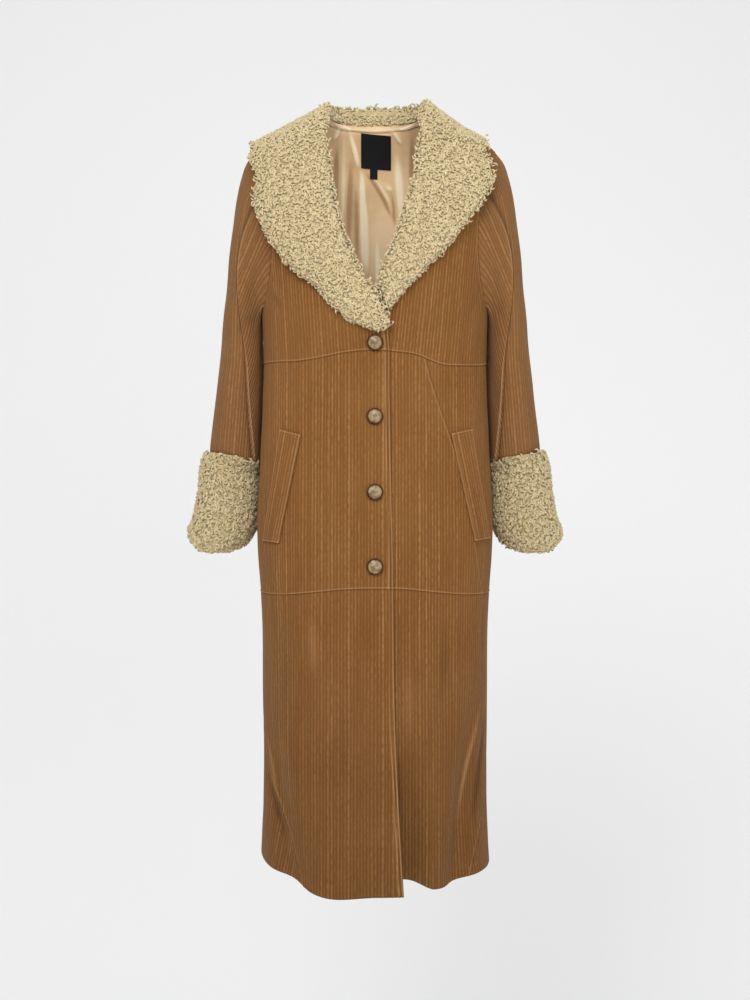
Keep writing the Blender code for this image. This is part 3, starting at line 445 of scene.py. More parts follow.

# Colours
# Painted shade in seam grooves and crease hollows
CLOTH_PAINTED_SHADE = (0.040, 0.015, 0.004, 1.0)
# Dark fibres of the nap and weft, and painted shade in the grooves between wales
CLOTH_GROOVE_SHADE_AND_DARK_NAP = (0.152, 0.0600, 0.0139, 1.0)
CLOTH_RIDGE = (0.270, 0.1240, 0.0365, 1.0)
# Painted highlight on raised edges, creases and some wale ridges
CLOTH_PAINTED_HIGHLIGHT = (0.355, 0.192, 0.0800, 1.0)
CLOTH_WORN = (0.248, 0.121, 0.0365, 1.0)
CLOTH_HAZE = (0.195, 0.130, 0.085, 1.0)
SLEEVE_HAZE = 0.13
CLOTH_LOW = (0.640, 0.640, 0.660, 1.0)
# Base of the fur, shown as painted shade at the roots of the locks and between clumps
FUR_SHADE = (0.360, 0.285, 0.155, 1.0)
FUR_LIGHT = (0.600, 0.495, 0.288, 1.0)
FUR_WARM = (0.510, 0.405, 0.210, 1.0)
FUR_CUFF = (0.890, 0.880, 0.860, 1.0)
SATIN_SHADE = (0.700, 0.464, 0.246, 1.0)
SATIN_LIGHT = (0.850, 0.620, 0.366, 1.0)
# Painted highlight on the lining's raised folds
SATIN_PAINTED_HIGHLIGHT = (1.000, 0.860, 0.590, 1.0)
# Painted shade in the lining's creases
SATIN_PAINTED_SHADE = (0.430, 0.255, 0.120, 1.0)
THREAD_SHADE = (0.180, 0.080, 0.024, 1.0)
THREAD_LIGHT = (0.290, 0.140, 0.050, 1.0)
TAPE_SHADE = (0.003, 0.003, 0.0035, 1.0)
TAPE_LIGHT = (0.010, 0.0095, 0.010, 1.0)
STAGE_NEAR = (0.95, 0.95, 0.95, 1.0)
STAGE_BEND = (0.90, 0.90, 0.90, 1.0)
STAGE_FAR = (0.87, 0.87, 0.87, 1.0)

# Layers of colour over a base: what drives it, its limits, the shares there, colour, way of blending
CLOTH_LAYERS = [
    ("nap", 0.30, 0.70, 0.0, 0.22, CLOTH_GROOVE_SHADE_AND_DARK_NAP, "MIX"),
    ("weft", 0.35, 0.65, 0.0, 0.35, CLOTH_GROOVE_SHADE_AND_DARK_NAP, "MIX"),
    ("patch", 0.35, 0.70, 0.0, 0.16, CLOTH_WORN, "MIX"),
    ("level", HEM, -0.55, 0.75, 0.0, CLOTH_LOW, "MULTIPLY"),
    # Painted highlight on raised edges and creases, painted shade in seams and crease hollows
    ("tone", 0.55, 0.95, 0.0, 0.75, CLOTH_PAINTED_HIGHLIGHT, "MIX"),
    ("tone", 0.05, 0.45, 0.65, 0.0, CLOTH_PAINTED_SHADE, "MIX"),
]
FUR_LAYERS = [
    # Painted shade at the roots of the locks, lighter to their tips, with a random tone per lock
    ("tone", 0.05, 0.75, 0.0, 1.00, FUR_LIGHT, "MIX"),
    ("patch", 0.35, 0.70, 0.0, 0.45, FUR_WARM, "MIX"),
    # Painted shade in the gaps between clumps
    ("clumps", 0.25, 0.70, 0.0, 0.50, FUR_SHADE, "MIX"),
    ("level", -0.55, -0.45, 1.0, 0.0, FUR_CUFF, "MULTIPLY"),
]
SATIN_LAYERS = [
    ("patch", 0.30, 0.70, 0.0, 1.00, SATIN_LIGHT, "MIX"),
    # Painted highlight on the lining's folds and painted shade in its creases
    ("tone", 0.52, 0.92, 0.0, 0.95, SATIN_PAINTED_HIGHLIGHT, "MIX"),
    ("tone", 0.05, 0.48, 0.95, 0.0, SATIN_PAINTED_SHADE, "MIX"),
]

# Finishes of the buttons: shade, light, roughness, polish, gloss
BUTTON_FINISHES = {
    "button_dome": ((0.120, 0.072, 0.026, 1.0), (0.290, 0.200, 0.095, 1.0), 0.30, 0.2, 0.35),
    "button_rim": ((0.034, 0.013, 0.002, 1.0), (0.076, 0.031, 0.006, 1.0), 0.50, 0.0, 0.15),
}

# Studio
FLOOR_DROP = 1.000
BACKDROP_Y, SWEEP, SWEEP_STEPS, STAGE_REACH = 3.2, 1.6, 16, 8.0
# Where the paint is near, at the bend and far: depth plus height
PAINT_NEAR, PAINT_BEND, PAINT_FAR = -1.5, 1.8, 4.7
AIR_STRENGTH = 0.68
# Lights: place, aim, size, watts
LIGHTS = {
    "key": ((-0.8, -3.2, 1.5), (0.0, 0.0, -0.5), 2.0, 86.0),
    "fill": ((1.2, -3.4, 0.0), (0.0, 0.0, -0.6), 2.4, 46.0),
}
CAMERA_SPOT = (0.0, -2.0, -0.639)
CAMERA_LENS, SENSOR_HEIGHT = 43.48, 36.0


# Shapes of the solids, from the same tables
def refined(values, parts):
    """A table's values with evenly placed ones put between each two."""
    values = np.asarray(values, float)
    rows = np.arange(len(values))
    return np.interp(np.linspace(0, rows[-1], rows[-1] * parts + 1), rows, values)


def smooth(places, values, at):
    """A smooth curve through a table's values, read at any place."""
    places = np.asarray(places, float)
    values = np.asarray(values, float)
    order = np.argsort(places)
    places = places[order]
    values = values[order]
    slopes = np.gradient(values, places)
    at = np.clip(np.asarray(at, float), places[0], places[-1])
    low = np.clip(np.searchsorted(places, at, side="right") - 1, 0, len(places) - 2)
    step = places[low + 1] - places[low]
    share = (at - places[low]) / step
    rise = 3 * share**2 - 2 * share**3
    lead = share - 2 * share**2 + share**3
    trail = share**3 - share**2
    straight = values[low] * (1 - rise) + values[low + 1] * rise
    return straight + step * (slopes[low] * lead + slopes[low + 1] * trail)


def columns_at(table, level, *names):
    """Columns of a table of rings, read at any level."""
    return [smooth(table["level"], table[name], level) for name in names]


def along(table, column, count):
    """A column's values at even steps from its first row to its last."""
    rows = np.arange(len(table[column]))
    return smooth(rows, table[column], np.linspace(0, rows[-1], count))


def ease(share):
    share = np.clip(share, 0.0, 1.0)
    return share * share * (3 - 2 * share)


def power(value, exponent):
    return np.sign(value) * np.abs(value) ** exponent


def fold_depth(turn, level):
    """How far the large folds sink in at an angle and a level."""
    depth = np.zeros(np.broadcast(turn, level).shape)
    for row in range(len(FOLDS["depth"])):
        top = FOLDS["top_level"][row]
        low = FOLDS["low_level"][row]
        share = (top - level) / (top - low)
        start = math.radians(FOLDS["top_turn"][row])
        end = math.radians(FOLDS["low_turn"][row])
        middle = start + (end - start) * np.clip(share, 0, 1)
        away = (turn - middle + math.pi) % (2 * math.pi) - math.pi
        across = away / math.radians(FOLDS["half_width"][row])
        depth += FOLDS["depth"][row] * ease(share * FOLD_ONSET) * np.exp(-across * across)
    return depth


def body(turn, level, wider=0.0, deeper=0.0):
    """Point of the coat's surface: turn 0 is the front centre, positive towards +X."""
    turn, level = np.broadcast_arrays(np.asarray(turn, float), np.asarray(level, float))
    half_width, front, back = columns_at(BODY, level, "half_width", "front", "back")
    depth = np.where(np.cos(turn) > 0, front, back) + deeper
    x = (half_width + wider) * power(np.sin(turn), 2 / RING_POWER)
    y = -depth * power(np.cos(turn), 2 / RING_POWER)
    reach = np.maximum(np.hypot(x, y), LEAST_LENGTH)
    shrink = 1 - fold_depth(turn, level) / reach
    return np.stack([x * shrink, y * shrink, level], -1)


def turn_at(x, level, wider=0.0):
    """Angle of the surface in front where it has this x."""
    half_width = smooth(BODY["level"], BODY["half_width"], level) + wider
    share = np.clip(np.asarray(x) / half_width, -1, 1)
    return np.arcsin(power(share, RING_POWER / 2))


def facing(surface, turn, level):
    """Outward unit normal of a surface given as a function of turn and level."""
    sideways = surface(turn + NUDGE, level) - surface(turn - NUDGE, level)
    upward = surface(turn, level + NUDGE) - surface(turn, level - NUDGE)
    normal = np.cross(sideways, upward)
    return normal / np.linalg.norm(normal, axis=-1, keepdims=True)


def lap_shift(turn, level):
    """How far the left front steps in behind the right one; it swings back near the hem."""
    swing = SWING_DEPTH * ease((SWING_TOP - level) / SWING_LENGTH)
    under = ease((LAP_TURN - turn) / LAP_BLEND)
    return (LAP_DEPTH + swing) * under * ease((LAP_TOP - level) / LAP_TOP_BLEND)


def left_front_surface(turn, level):
    points = body(turn, level)
    points[..., 1] += lap_shift(turn, level)
    return points


def waist_level(turn):
    in_front = smooth(WAIST["turn"], WAIST["level"], np.degrees(turn))
    return np.where(np.cos(turn) > 0, in_front, WAIST_SIDE)


def level_waist(turn):
    return np.full_like(turn, WAIST_SIDE)


def hung(turns, levels):
    """A bodice panel whose rows below the underarm follow the waist seam."""
    below = ease((UNDERARM_LEVEL - levels) / (UNDERARM_LEVEL - WAIST_SIDE))
    return turns, levels + below * (waist_level(turns) - WAIST_SIDE)


def hip_level(turn):
    front = np.maximum(np.cos(turn), 0) ** HIP_SHARPNESS
    return HIP_SIDE + (HIP_FRONT - HIP_SIDE) * front


def hem_level(side):
    """The hem's level by angle, from one side's table."""
    def level(turn):
        away = np.degrees(np.maximum(SIGNS[side] * turn, 0))
        return smooth(HEMS[side]["turn"], HEMS[side]["level"], away)
    return level


def back_hem_level(turn):
    left = hem_level("left")(turn)
    right = hem_level("right")(turn - 2 * math.pi)
    return np.where(turn < math.pi, left, right)


def neck_level(turn):
    dip = np.where(np.cos(turn) > 0, NECK_DIP_FRONT, NECK_DIP_BACK)
    return NECK_TOP - dip * np.cos(turn) ** 2


def trimmed(turns, levels):
    """Pulls a panel's edges in by half a seam gap."""
    half = SEAM_GAP / 2 + SEAM_SPARE
    turns = turns.copy()
    levels = levels.copy()
    turns[:, 0] += half / RING_RADIUS
    turns[:, -1] -= half / RING_RADIUS
    levels[0] -= half
    levels[-1] += half
    return turns, levels


def edge_turn(side):
    table = FRONT_EDGES[side]
    return lambda level: turn_at(smooth(table["level"], table["x"], level), level)


def side_turn(side):
    return lambda level: SIGNS[side] * np.radians(smooth(SIDE_SEAMS["level"], SIDE_SEAMS[side], level))


def armhole_turn(level):
    """Angle of the armhole's edge, which is the side or shoulder seam above and below it."""
    inside = (level > UNDERARM_LEVEL) & (level < SHOULDER_LEVEL)
    turn = smooth(ARMHOLE["level"], ARMHOLE["turn"], level)
    return np.radians(np.where(inside, turn, 90.0))


def pocket_turn(side):
    def turn(level):
        return SIGNS[side] * turn_at(smooth(POCKET_SEAM["level"], POCKET_SEAM["x"], level), level)
    return turn


def inner_surface(depth):
    def surface(turn, level):
        return body(turn, level) - depth * facing(body, turn, level)
    return surface


def tube_ring(table, turn, level):
    """Point on a sleeve's or cuff's ring: turn 0 is the outer side, a quarter turn is the front."""
    inner, outer, half_depth, centre_y = columns_at(table, level, *TUBE_COLUMNS)
    x = (outer + inner) / 2 + (outer - inner) / 2 * np.cos(turn)
    y = centre_y - half_depth * np.sin(turn)
    return np.stack([x, y, level + 0 * x], -1)


def sleeve_ring(turn, level):
    return tube_ring(SLEEVE, turn, level)


def wrist_level(turn):
    """The wrist slopes down towards the body."""
    return WRIST + WRIST_LEAN * np.cos(turn)


def cuff_ring(table, turns, rows):
    """A cuff's points: its inner side lies further back and its end is rounded up at both sides."""
    points = tube_ring(table, turns, rows)
    points[..., 1] += smooth(table["level"], table["inner_back"], rows) * (1 - np.cos(turns)) / 2
    near_wrist = ease((rows - CUFF_LEAN_END) / (WRIST - CUFF_LEAN_END))
    near_end = ease((CUFF_ROUND_START - rows) / (CUFF_ROUND_START - CUFF_END))
    points[..., 2] += (wrist_level(turns) - WRIST) * near_wrist
    points[..., 2] += CUFF_ROUND * np.cos(turns) ** CUFF_SHARPNESS * near_end
    return points


def armhole_loop():
    """Body turns and levels round the armhole, from the underarm up the back and down the front."""
    rows = refined(UPPER_LEVELS, ROW_PARTS)
    rows = rows[(rows <= SHOULDER_LEVEL) & (rows >= UNDERARM_LEVEL)]
    front = armhole_turn(rows)
    shares = (UPPER_LEVELS[0] - rows) / (UPPER_LEVELS[0] - UPPER_LEVELS[-1])
    turns = np.concatenate([(math.pi - front)[::-1], front[1:]])
    highs = neck_level(turns)
    lows = level_waist(turns)
    levels = highs + (lows - highs) * np.concatenate([shares[::-1], shares[1:]])
    centre = (SHOULDER_LEVEL + UNDERARM_LEVEL) / 2
    side = math.pi / 2
    return side + (turns - side) * ARMHOLE_EASE, centre + (levels - centre) * ARMHOLE_EASE


def parted(points):
    """Pulls the first and last columns in by half a seam gap."""
    half = SEAM_GAP / 2 + SEAM_SPARE
    points = points.copy()
    for edge, beside in ((0, 1), (-1, -2)):
        inward = points[:, beside] - points[:, edge]
        points[:, edge] += half * inward / np.linalg.norm(inward, axis=-1, keepdims=True)
    return points


def sleeve_surface(columns, start_turn, end_turn, shares):
    """Points and normals of a piece of the left sleeve, from the armhole to the wrist."""
    body_turns, starts = (values[columns] for values in armhole_loop())
    first = body(body_turns, starts)
    centre = (SHOULDER_LEVEL + UNDERARM_LEVEL) / 2
    half = (SHOULDER_LEVEL - UNDERARM_LEVEL) / 2
    lean = np.arccos(np.clip((starts - centre) / (half * ARMHOLE_EASE), -1, 1))
    lean = np.unwrap(np.where(body_turns > math.pi / 2, -lean, lean))
    from_top = np.abs((lean + math.pi) % (2 * math.pi) - math.pi)

    def points(share, nudge):
        even = np.linspace(start_turn(share), end_turn(share), len(lean))
        turn = lean + (even - lean) * ease(share * SPREAD_ONSET) + nudge
        level = starts + (wrist_level(turn) + SEAM_GAP - starts) * share
        miss = first - sleeve_ring(lean, starts)
        hold = (1 - share) ** (CAP_HOLD + UNDERARM_HOLD * np.sin(lean / 2) ** 2)
        return sleeve_ring(turn, level) + miss * hold[:, None]

    outer = np.stack([points(share, 0) for share in shares])
    round_it = np.stack([points(share, NUDGE) - points(share, -NUDGE) for share in shares])
    down = np.stack([points(min(share + NUDGE, 1), 0) - points(max(share - NUDGE, 0), 0)
                     for share in shares])
    normal = np.cross(round_it, down)
    normal[-1, :, 2] = 0
    normal /= np.linalg.norm(normal, axis=-1, keepdims=True)
    low_down = ease((from_top - RIM_TURN) / RIM_BLEND)[:, None]
    normal[0] = facing(body, body_turns, starts) * (1 - low_down) + normal[0] * low_down
    normal[0] /= np.linalg.norm(normal[0], axis=-1, keepdims=True)
    return parted(outer), normal


def mirrored(points, sign):
    return points * np.array([sign, 1, 1])


def front_seam_turn(share):
    level = SLEEVE_SEAM["level"]
    return math.radians(smooth(level, SLEEVE_SEAM["turn"], level[-1] + (level[0] - level[-1]) * share))


def back_seam_turn(share):
    return math.radians(SLEEVE_BACK_SEAM - 360)


def puff(share):
    """Thickness of fur from one edge of a piece to the other."""
    middle = np.sqrt(np.clip(1 - (2 * share - 1) ** PUFF_SHARPNESS, 0, 1))
    return FUR_EDGE + (FUR_THICK - FUR_EDGE) * middle


def lapel_base(side):
    def surface(turn, level):
        points = body(turn, level, LAPEL_SPREAD, FUR_GAP)
        if side == "left":
            points[..., 1] += lap_shift(turn, level)
        return points
    return surface


def lapel_walls(side, roll_x, roll_level, edge_x, edge_level, columns):
    """Outer and inner points of a lapel between its roll line and its outer edge."""
    over = np.linspace(0, 1, columns)
    x = roll_x[:, None] + (edge_x - roll_x)[:, None] * over
    level = roll_level[:, None] + (edge_level - roll_level)[:, None] * over
    turn = turn_at(x, level, LAPEL_SPREAD)
    surface = lapel_base(side)
    inner = surface(turn, level)
    normal = facing(surface, turn, level)
    return inner + puff(over)[None, :, None] * normal, inner


def collar_section(neck, top, edge, rows):
    """Points over the collar from the neck seam over the roll to the outer edge."""
    share = np.linspace(0, 1, rows)
    fall = edge - top
    spots = np.stack([neck, top, top + fall * FALL_NEAR, top + fall * FALL_MIDDLE, edge])
    return np.stack([smooth(COLLAR_KNOTS, spots[:, axis], share) for axis in range(3)], -1)


def collar_half(side, rows, count):
    """Outer sections from the centre back to the gorge on one side, and the gorge's inner points."""
    sign, table = SIGNS[side], LAPELS[side]
    knots = []
    for step in range(len(COLLAR["neck_x"])):
        spots = [np.array([COLLAR[f"{spot}_{axis}"][step] for axis in ("x", "y", "level")])
                 for spot in ("neck", "top", "edge")]
        spots[2][0] *= COLLAR_REACH[side]
        for spot, drop in zip(spots, COLLAR_DROP[side]):
            spot[2] -= drop * (step / (len(COLLAR["neck_x"]) - 1)) ** 2
        knots.append(mirrored(collar_section(*spots, rows), sign))
    lifts = np.array([GORGE_RISE[side], GORGE_GAP])
    roll_x = table["roll_x"][0] + sign * lifts * GORGE_ROLL_SLOPE
    edge_x = table["edge_x"][0] + sign * lifts * GORGE_EDGE_SLOPE
    outer, inner = lapel_walls(side, roll_x, table["roll_level"][0] + lifts, edge_x,
                               table["edge_level"][0] + lifts, rows)
    knots.extend(outer)
    knots = np.stack(knots)
    steps = np.linspace(0, len(knots) - 1, count)
    sections = np.empty((count, rows, 3))
    for row in range(rows):
        for axis in range(3):
            sections[:, row, axis] = smooth(np.arange(len(knots)), knots[:, row, axis], steps)
    return sections, inner[-1]


def outside(points):
    """How far points lie outside the coat's surface, level by level; above the neck all are outside."""
    level = points[..., 2]
    half_width, front, back = columns_at(BODY, level, "half_width", "front", "back")
    depth = np.where(points[..., 1] < 0, front, back)
    across = np.abs(points[..., 0]) / half_width
    along_it = np.abs(points[..., 1]) / depth
    size = (across**RING_POWER + along_it**RING_POWER) ** (1 / RING_POWER)
    reach = np.hypot(points[..., 0], points[..., 1])
    above = level > NECK_TOP + COLLAR_LIFT
    return np.where(above, 1.0, reach * (1 - 1 / np.maximum(size, LEAST_LENGTH)))


def seated(outer, normal, thick, clearance):
    """Points under a wall, as thick as asked but never nearer to the coat than the clearance."""
    low = np.full(outer.shape[:2], FUR_LEAST)
    high = np.broadcast_to(thick, outer.shape[:2]).copy()
    for _ in range(THICKNESS_TRIES):
        middle = (low + high) / 2
        clear = outside(outer - middle[..., None] * normal) > clearance
        low = np.where(clear, middle, low)
        high = np.where(clear, high, middle)
    return outer - low[..., None] * normal


def collar_walls(rows, count):
    """Outer and inner points of the collar, from the neck seam over the roll to the outer edge."""
    right, right_end = collar_half("right", rows, count)
    left, left_end = collar_half("left", rows, count)
    outer = np.concatenate([right[::-1], left[1:]]).transpose(1, 0, 2)
    across = np.gradient(outer, axis=1)
    down = np.gradient(outer, axis=0)
    normal = np.cross(across, down)
    normal /= np.linalg.norm(normal, axis=-1, keepdims=True)
    for _ in range(LIFT_ROUNDS):
        short = np.maximum(COLLAR_CLEAR + FUR_LEAST + COLLAR_LIFT - outside(outer), 0)
        short[:STAND_ROWS] = 0
        outer = outer + LIFT_SHARE * short[..., None] * normal
    inner = seated(outer, normal, puff(np.linspace(0, 1, rows))[:, None], COLLAR_CLEAR)
    inner[:, 0] = right_end
    inner[:, -1] = left_end
    return outer, inner


# Fine grids of points
def edge_shares(length, step):
    """Shares along a stretch of cloth, close together at both ends and even between."""
    close = np.array(EDGE_STEPS) / length
    middle = np.linspace(close[-1], 1 - close[-1], max(int(length / step), 2))[1:-1]
    return np.concatenate([close, middle, 1 - close[::-1]])


def fine_grid(rows, start, end, top, foot, width):
    """Turns and levels of a panel between its side edges, top and foot, at fine steps."""
    down = (rows[0] - rows) / (rows[0] - rows[-1])
    over = edge_shares(width, COLUMN_STEP)
    first = start(rows)
    final = end(rows)
    turns = first[:, None] + (final - first)[:, None] * over
    highs = top(turns)
    lows = foot(turns)
    levels = highs + (lows - highs) * down[:, None]
    if foot is level_waist:
        turns, levels = hung(turns, levels)
    return trimmed(turns, levels)


def runs(points, axis):
    """Length along a grid's rows (axis 1) or columns (axis 0) from the first point."""
    steps = np.linalg.norm(np.diff(points, axis=axis), axis=-1)
    start = np.zeros_like(np.take(steps, [0], axis=axis))
    return np.concatenate([start, np.cumsum(steps, axis=axis)], axis=axis)


def edge_distances(points):
    """Distance of each point from the four edges of its grid."""
    across = runs(points, 1)
    down = runs(points, 0)
    return {"start": across, "end": across[:, -1:] - across, "top": down, "foot": down[-1:] - down}


def ring_run(ring, turn, level, middle):
    """Length round a ring from its middle line to each turn, level by level."""
    turns = middle + (turn - middle)[..., None] * np.linspace(0, 1, RUN_STEPS)
    spots = ring(turns, np.broadcast_to(level[..., None], turns.shape))
    length = np.linalg.norm(np.diff(spots, axis=-2), axis=-1).sum(axis=-1)
    return np.sign(turn - middle) * length


def bell(distance, middle, half_width):
    return np.exp(-((distance - middle) / half_width) ** 2)


def edge_relief(points, edges):
    """Height of rolled edges, pressed seams and topstitched folds, above a panel's plain surface."""
    height = np.zeros(points.shape[:2])
    for edge, distance in edge_distances(points).items():
        for middle, half_width, rise in EDGE_FORMS[edges[edge]]:
            height += rise * bell(distance, middle, half_width)
    return height


def by_angle(surface):
    """Places on a surface by an angle in degrees and a level."""
    return lambda angle, level: surface(np.radians(angle), level)


def by_x_behind(surface):
    """Places on the back of a surface by their x and level."""
    return lambda x, level: surface(math.pi - turn_at(x, level), level)


def crease_relief(points, line_at, table):
    """Height of soft creases, each along a bowed line between two places of the table."""
    height = np.zeros(points.shape[:2])
    low = points.min(axis=(0, 1))
    high = points.max(axis=(0, 1))
    share = np.linspace(0, 1, CREASE_POINTS)
    for begin, begin_level, end, end_level, rise, half_width in table:
        bow = np.sin(math.pi * share) * CREASE_BOW * (end - begin)
        line = line_at(begin + (end - begin) * share + bow, begin_level + (end_level - begin_level) * share)
        reach = CREASE_REACH * half_width
        if (line.max(axis=0) + reach < low).any() or (line.min(axis=0) - reach > high).any():
            continue
        away = np.linalg.norm(points[:, :, None, :] - line[None, None], axis=-1)
        nearest = away.argmin(axis=-1)
        fade = np.sin(math.pi * (CREASE_START + CREASE_SPAN * nearest / (CREASE_POINTS - 1)))
        height += rise * fade * bell(away.min(axis=-1), 0.0, half_width)
    return height


def unevenness(across, down, seed):
    """Slow swells and dips of soft cloth, from a few waves in seeded directions."""
    picker = np.random.default_rng(seed)
    height = np.zeros_like(across)
    for _ in range(SWELL_WAVES):
        length = picker.uniform(*SWELL_LENGTHS)
        lean = picker.normal(0.0, SWELL_LEAN)
        phase = picker.uniform(0, 2 * math.pi)
        height += np.sin(2 * math.pi * (across * math.cos(lean) + down * math.sin(lean)) / length + phase)
    return height * SWELL_HEIGHT / SWELL_WAVES


# Meshes
def mesh_piece(name, points, faces, finish, uv=None, tone=None):
    """A smooth piece from points and four-sided faces, riding on the coat."""
    mesh = bpy.data.meshes.new(name)
    mesh.from_pydata(points.tolist(), [], faces.tolist())
    mesh.polygons.foreach_set("use_smooth", np.ones(len(mesh.polygons), bool))
    corners = np.empty(len(mesh.loops), int)
    mesh.loops.foreach_get("vertex_index", corners)
    if uv is not None:
        layer = mesh.uv_layers.new(name="grain")
        layer.data.foreach_set("uv", uv[corners].astype(np.float32).ravel())
    if tone is not None:
        layer = mesh.attributes.new("tone", "FLOAT", "POINT")
        layer.data.foreach_set("value", tone.astype(np.float32))
    mesh.materials.append(finish)
    mesh.validate()
    piece = bpy.data.objects.new(name, mesh)
    bpy.context.scene.collection.objects.link(piece)
    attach(piece, "root")
    return piece


def grid_faces(rows, columns, offset=0, closed=False):
    last = columns if closed else columns - 1
    row, column = np.meshgrid(np.arange(rows - 1), np.arange(last), indexing="ij")
    beside = (column + 1) % columns
    a = row * columns + column
    b = row * columns + beside
    return np.stack([a, a + columns, b + columns, b], -1).reshape(-1, 4) + offset


def wall(name, outer, inner, finish, grain, tone, closed=False):
    """A closed wall between two grids of points."""
    rows, columns = outer.shape[:2]
    size = rows * columns
    front = grid_faces(rows, columns, 0, closed)
    back = grid_faces(rows, columns, size, closed)[:, ::-1]
    edges = [np.arange(columns), (rows - 1) * columns + np.arange(columns)[::-1]]
    if closed:
        edges = [np.append(ends, ends[0]) for ends in edges]
    else:
        edges.append(np.arange(rows)[::-1] * columns)
        edges.append(np.arange(rows) * columns + columns - 1)
    rims = [np.stack([ends[:-1], ends[1:], ends[1:] + size, ends[:-1] + size], -1) for ends in edges]
    points = np.concatenate([outer.reshape(-1, 3), inner.reshape(-1, 3)])
    uv = np.concatenate([grain.reshape(-1, 2)] * 2)
    tone = np.concatenate([tone.reshape(-1)] * 2)
    piece = mesh_piece(name, points, np.concatenate([front, back] + rims), finish, uv, tone)
    piece.data.set_sharp_from_angle(angle=SHARP_ANGLE)
    return piece


def grid_normal(points):
    """Unit normals of a grid, from its own points."""
    across = np.gradient(points, axis=1)
    down = np.gradient(points, axis=0)
    normal = np.cross(down, across)
    return normal / np.maximum(np.linalg.norm(normal, axis=-1, keepdims=True), LEAST_AREA)


def cloth(name, points, normal, relief, across, edges, finish, thick=CLOTH, shade=None):
    """A thin shell of cloth with rolled edges; its grain is a UV map in metres, and its seams and creases
    carry a tone that paints highlight on their ridges and shade in their hollows.
    """
    down = points[..., 2]
    rolled = edge_relief(points, edges)
    inwards = np.min(list(edge_distances(points).values()), axis=0)
    swell = unevenness(across, down, sum(map(ord, name))) * ease(inwards / SWELL_FADE)
    outer = points + (relief + rolled + swell)[..., None] * normal
    sunk = np.minimum(rolled, 0.0) * INNER_ROLL
    inner = points + (relief + swell - thick - sunk)[..., None] * normal
    inner = drawn_in(inner, [edge for edge, form in edges.items() if form in SEWN_FORMS], -SEAM_ALLOWANCE)
    # The tone paints highlight onto raised edges and creases and shade into seams and crease hollows
    folds = relief if shade is None else shade
    tone = np.clip(0.5 + (rolled + CREASE_PAINTED_LIGHT * folds) / PAINTED_LIGHT_RISE, 0, 1)
    piece = wall(name + "_cloth", outer, inner, finish, np.stack([across, down], -1), tone)
    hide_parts(name)
    return outer


def inset_line(points, edge, distance):
    """Points of a line that runs beside one edge of a grid at this distance."""
    if edge in ("top", "foot"):
        points = points.transpose(1, 0, 2)
    if edge in ("end", "foot"):
        points = points[:, ::-1]
    run = runs(points, 1)
    return np.stack([read_along(row, length, distance) for row, length in zip(points, run)])


# Stitches
def read_along(values, run, places):
    """Points or directions along a line, read at lengths from its start."""
    return np.stack([np.interp(places, run, column) for column in values.T], -1)


def stitch_row(line, outward):
    """Places and directions of stitches along a line of points."""
    run = np.concatenate([[0], np.cumsum(np.linalg.norm(np.diff(line, axis=0), axis=-1))])
    places = np.arange(STITCH_PITCH, run[-1] - STITCH_PITCH / 2, STITCH_PITCH)
    middles = read_along(line, run, places)
    ways = read_along(line, run, places + STITCH_PITCH / 4) - middles
    return middles, ways, read_along(outward, run, places)


def stitches(name, rows, finish):
    """One mesh of small rounded stitches along several lines."""
    middles, ways, lifts = (np.concatenate(parts) for parts in zip(*rows))
    ways /= np.linalg.norm(ways, axis=-1, keepdims=True)
    sides = np.cross(ways, lifts)
    sides /= np.linalg.norm(sides, axis=-1, keepdims=True)
    share = np.linspace(-1, 1, STITCH_RINGS)
    spine = middles[:, None] + ways[:, None] * (share * STITCH_LENGTH / 2)[None, :, None]
    height = STITCH_RADIUS * (np.sqrt(1 - share**2) - STITCH_SINK)
    spine = spine + lifts[:, None] * height[None, :, None]
    radius = STITCH_RADIUS * np.sqrt(np.clip(STITCH_BLUNT - share**2, 0, 1))
    radius = np.broadcast_to(radius, spine.shape[:2])
    sides = np.repeat(sides[:, None], STITCH_RINGS, axis=1)
    return tubes(name, spine, sides, lifts, radius, STITCH_SIDES, finish)


def tubes(name, spine, sides, lifts, radius, count, finish, tone=None):
    """One mesh of many short tubes, each round its own spine."""
    turn = np.arange(count) * 2 * math.pi / count
    ring = sides[:, :, None] * np.cos(turn)[None, None, :, None]
    ring = ring + lifts[:, None, None] * np.sin(turn)[None, None, :, None]
    points = spine[:, :, None] + ring * radius[:, :, None, None]
    number, rings = spine.shape[:2]
    faces = grid_faces(rings, count, closed=True)
    starts = np.arange(number) * rings * count
    faces = (faces[None] + starts[:, None, None]).reshape(-1, 4)
    if tone is not None:
        tone = np.repeat(tone.reshape(-1), count)
    return mesh_piece(name, points.reshape(-1, 3), faces, finish, tone=tone)


# Fur
def strewn(points, normal, spacing, picker):
    """Places spread evenly at random over a grid of points, with their normals."""
    corner = points[:-1, :-1]
    beside = points[:-1, 1:] - corner
    below = points[1:, :-1] - corner
    area = np.linalg.norm(np.cross(beside, below), axis=-1)
    count = int(area.sum() / spacing**2)
    chance = np.cumsum(area.ravel()) / area.sum()
    cells = np.searchsorted(chance, (np.arange(count) + picker.uniform(0, 1, count)) / count)
    cells = np.minimum(cells, area.size - 1)
    over = picker.uniform(0, 1, (count, 1))
    down = picker.uniform(0, 1, (count, 1))
    spots = corner.reshape(-1, 3)[cells] + beside.reshape(-1, 3)[cells] * over
    spots = spots + below.reshape(-1, 3)[cells] * down
    return spots, normal[:-1, :-1].reshape(-1, 3)[cells]


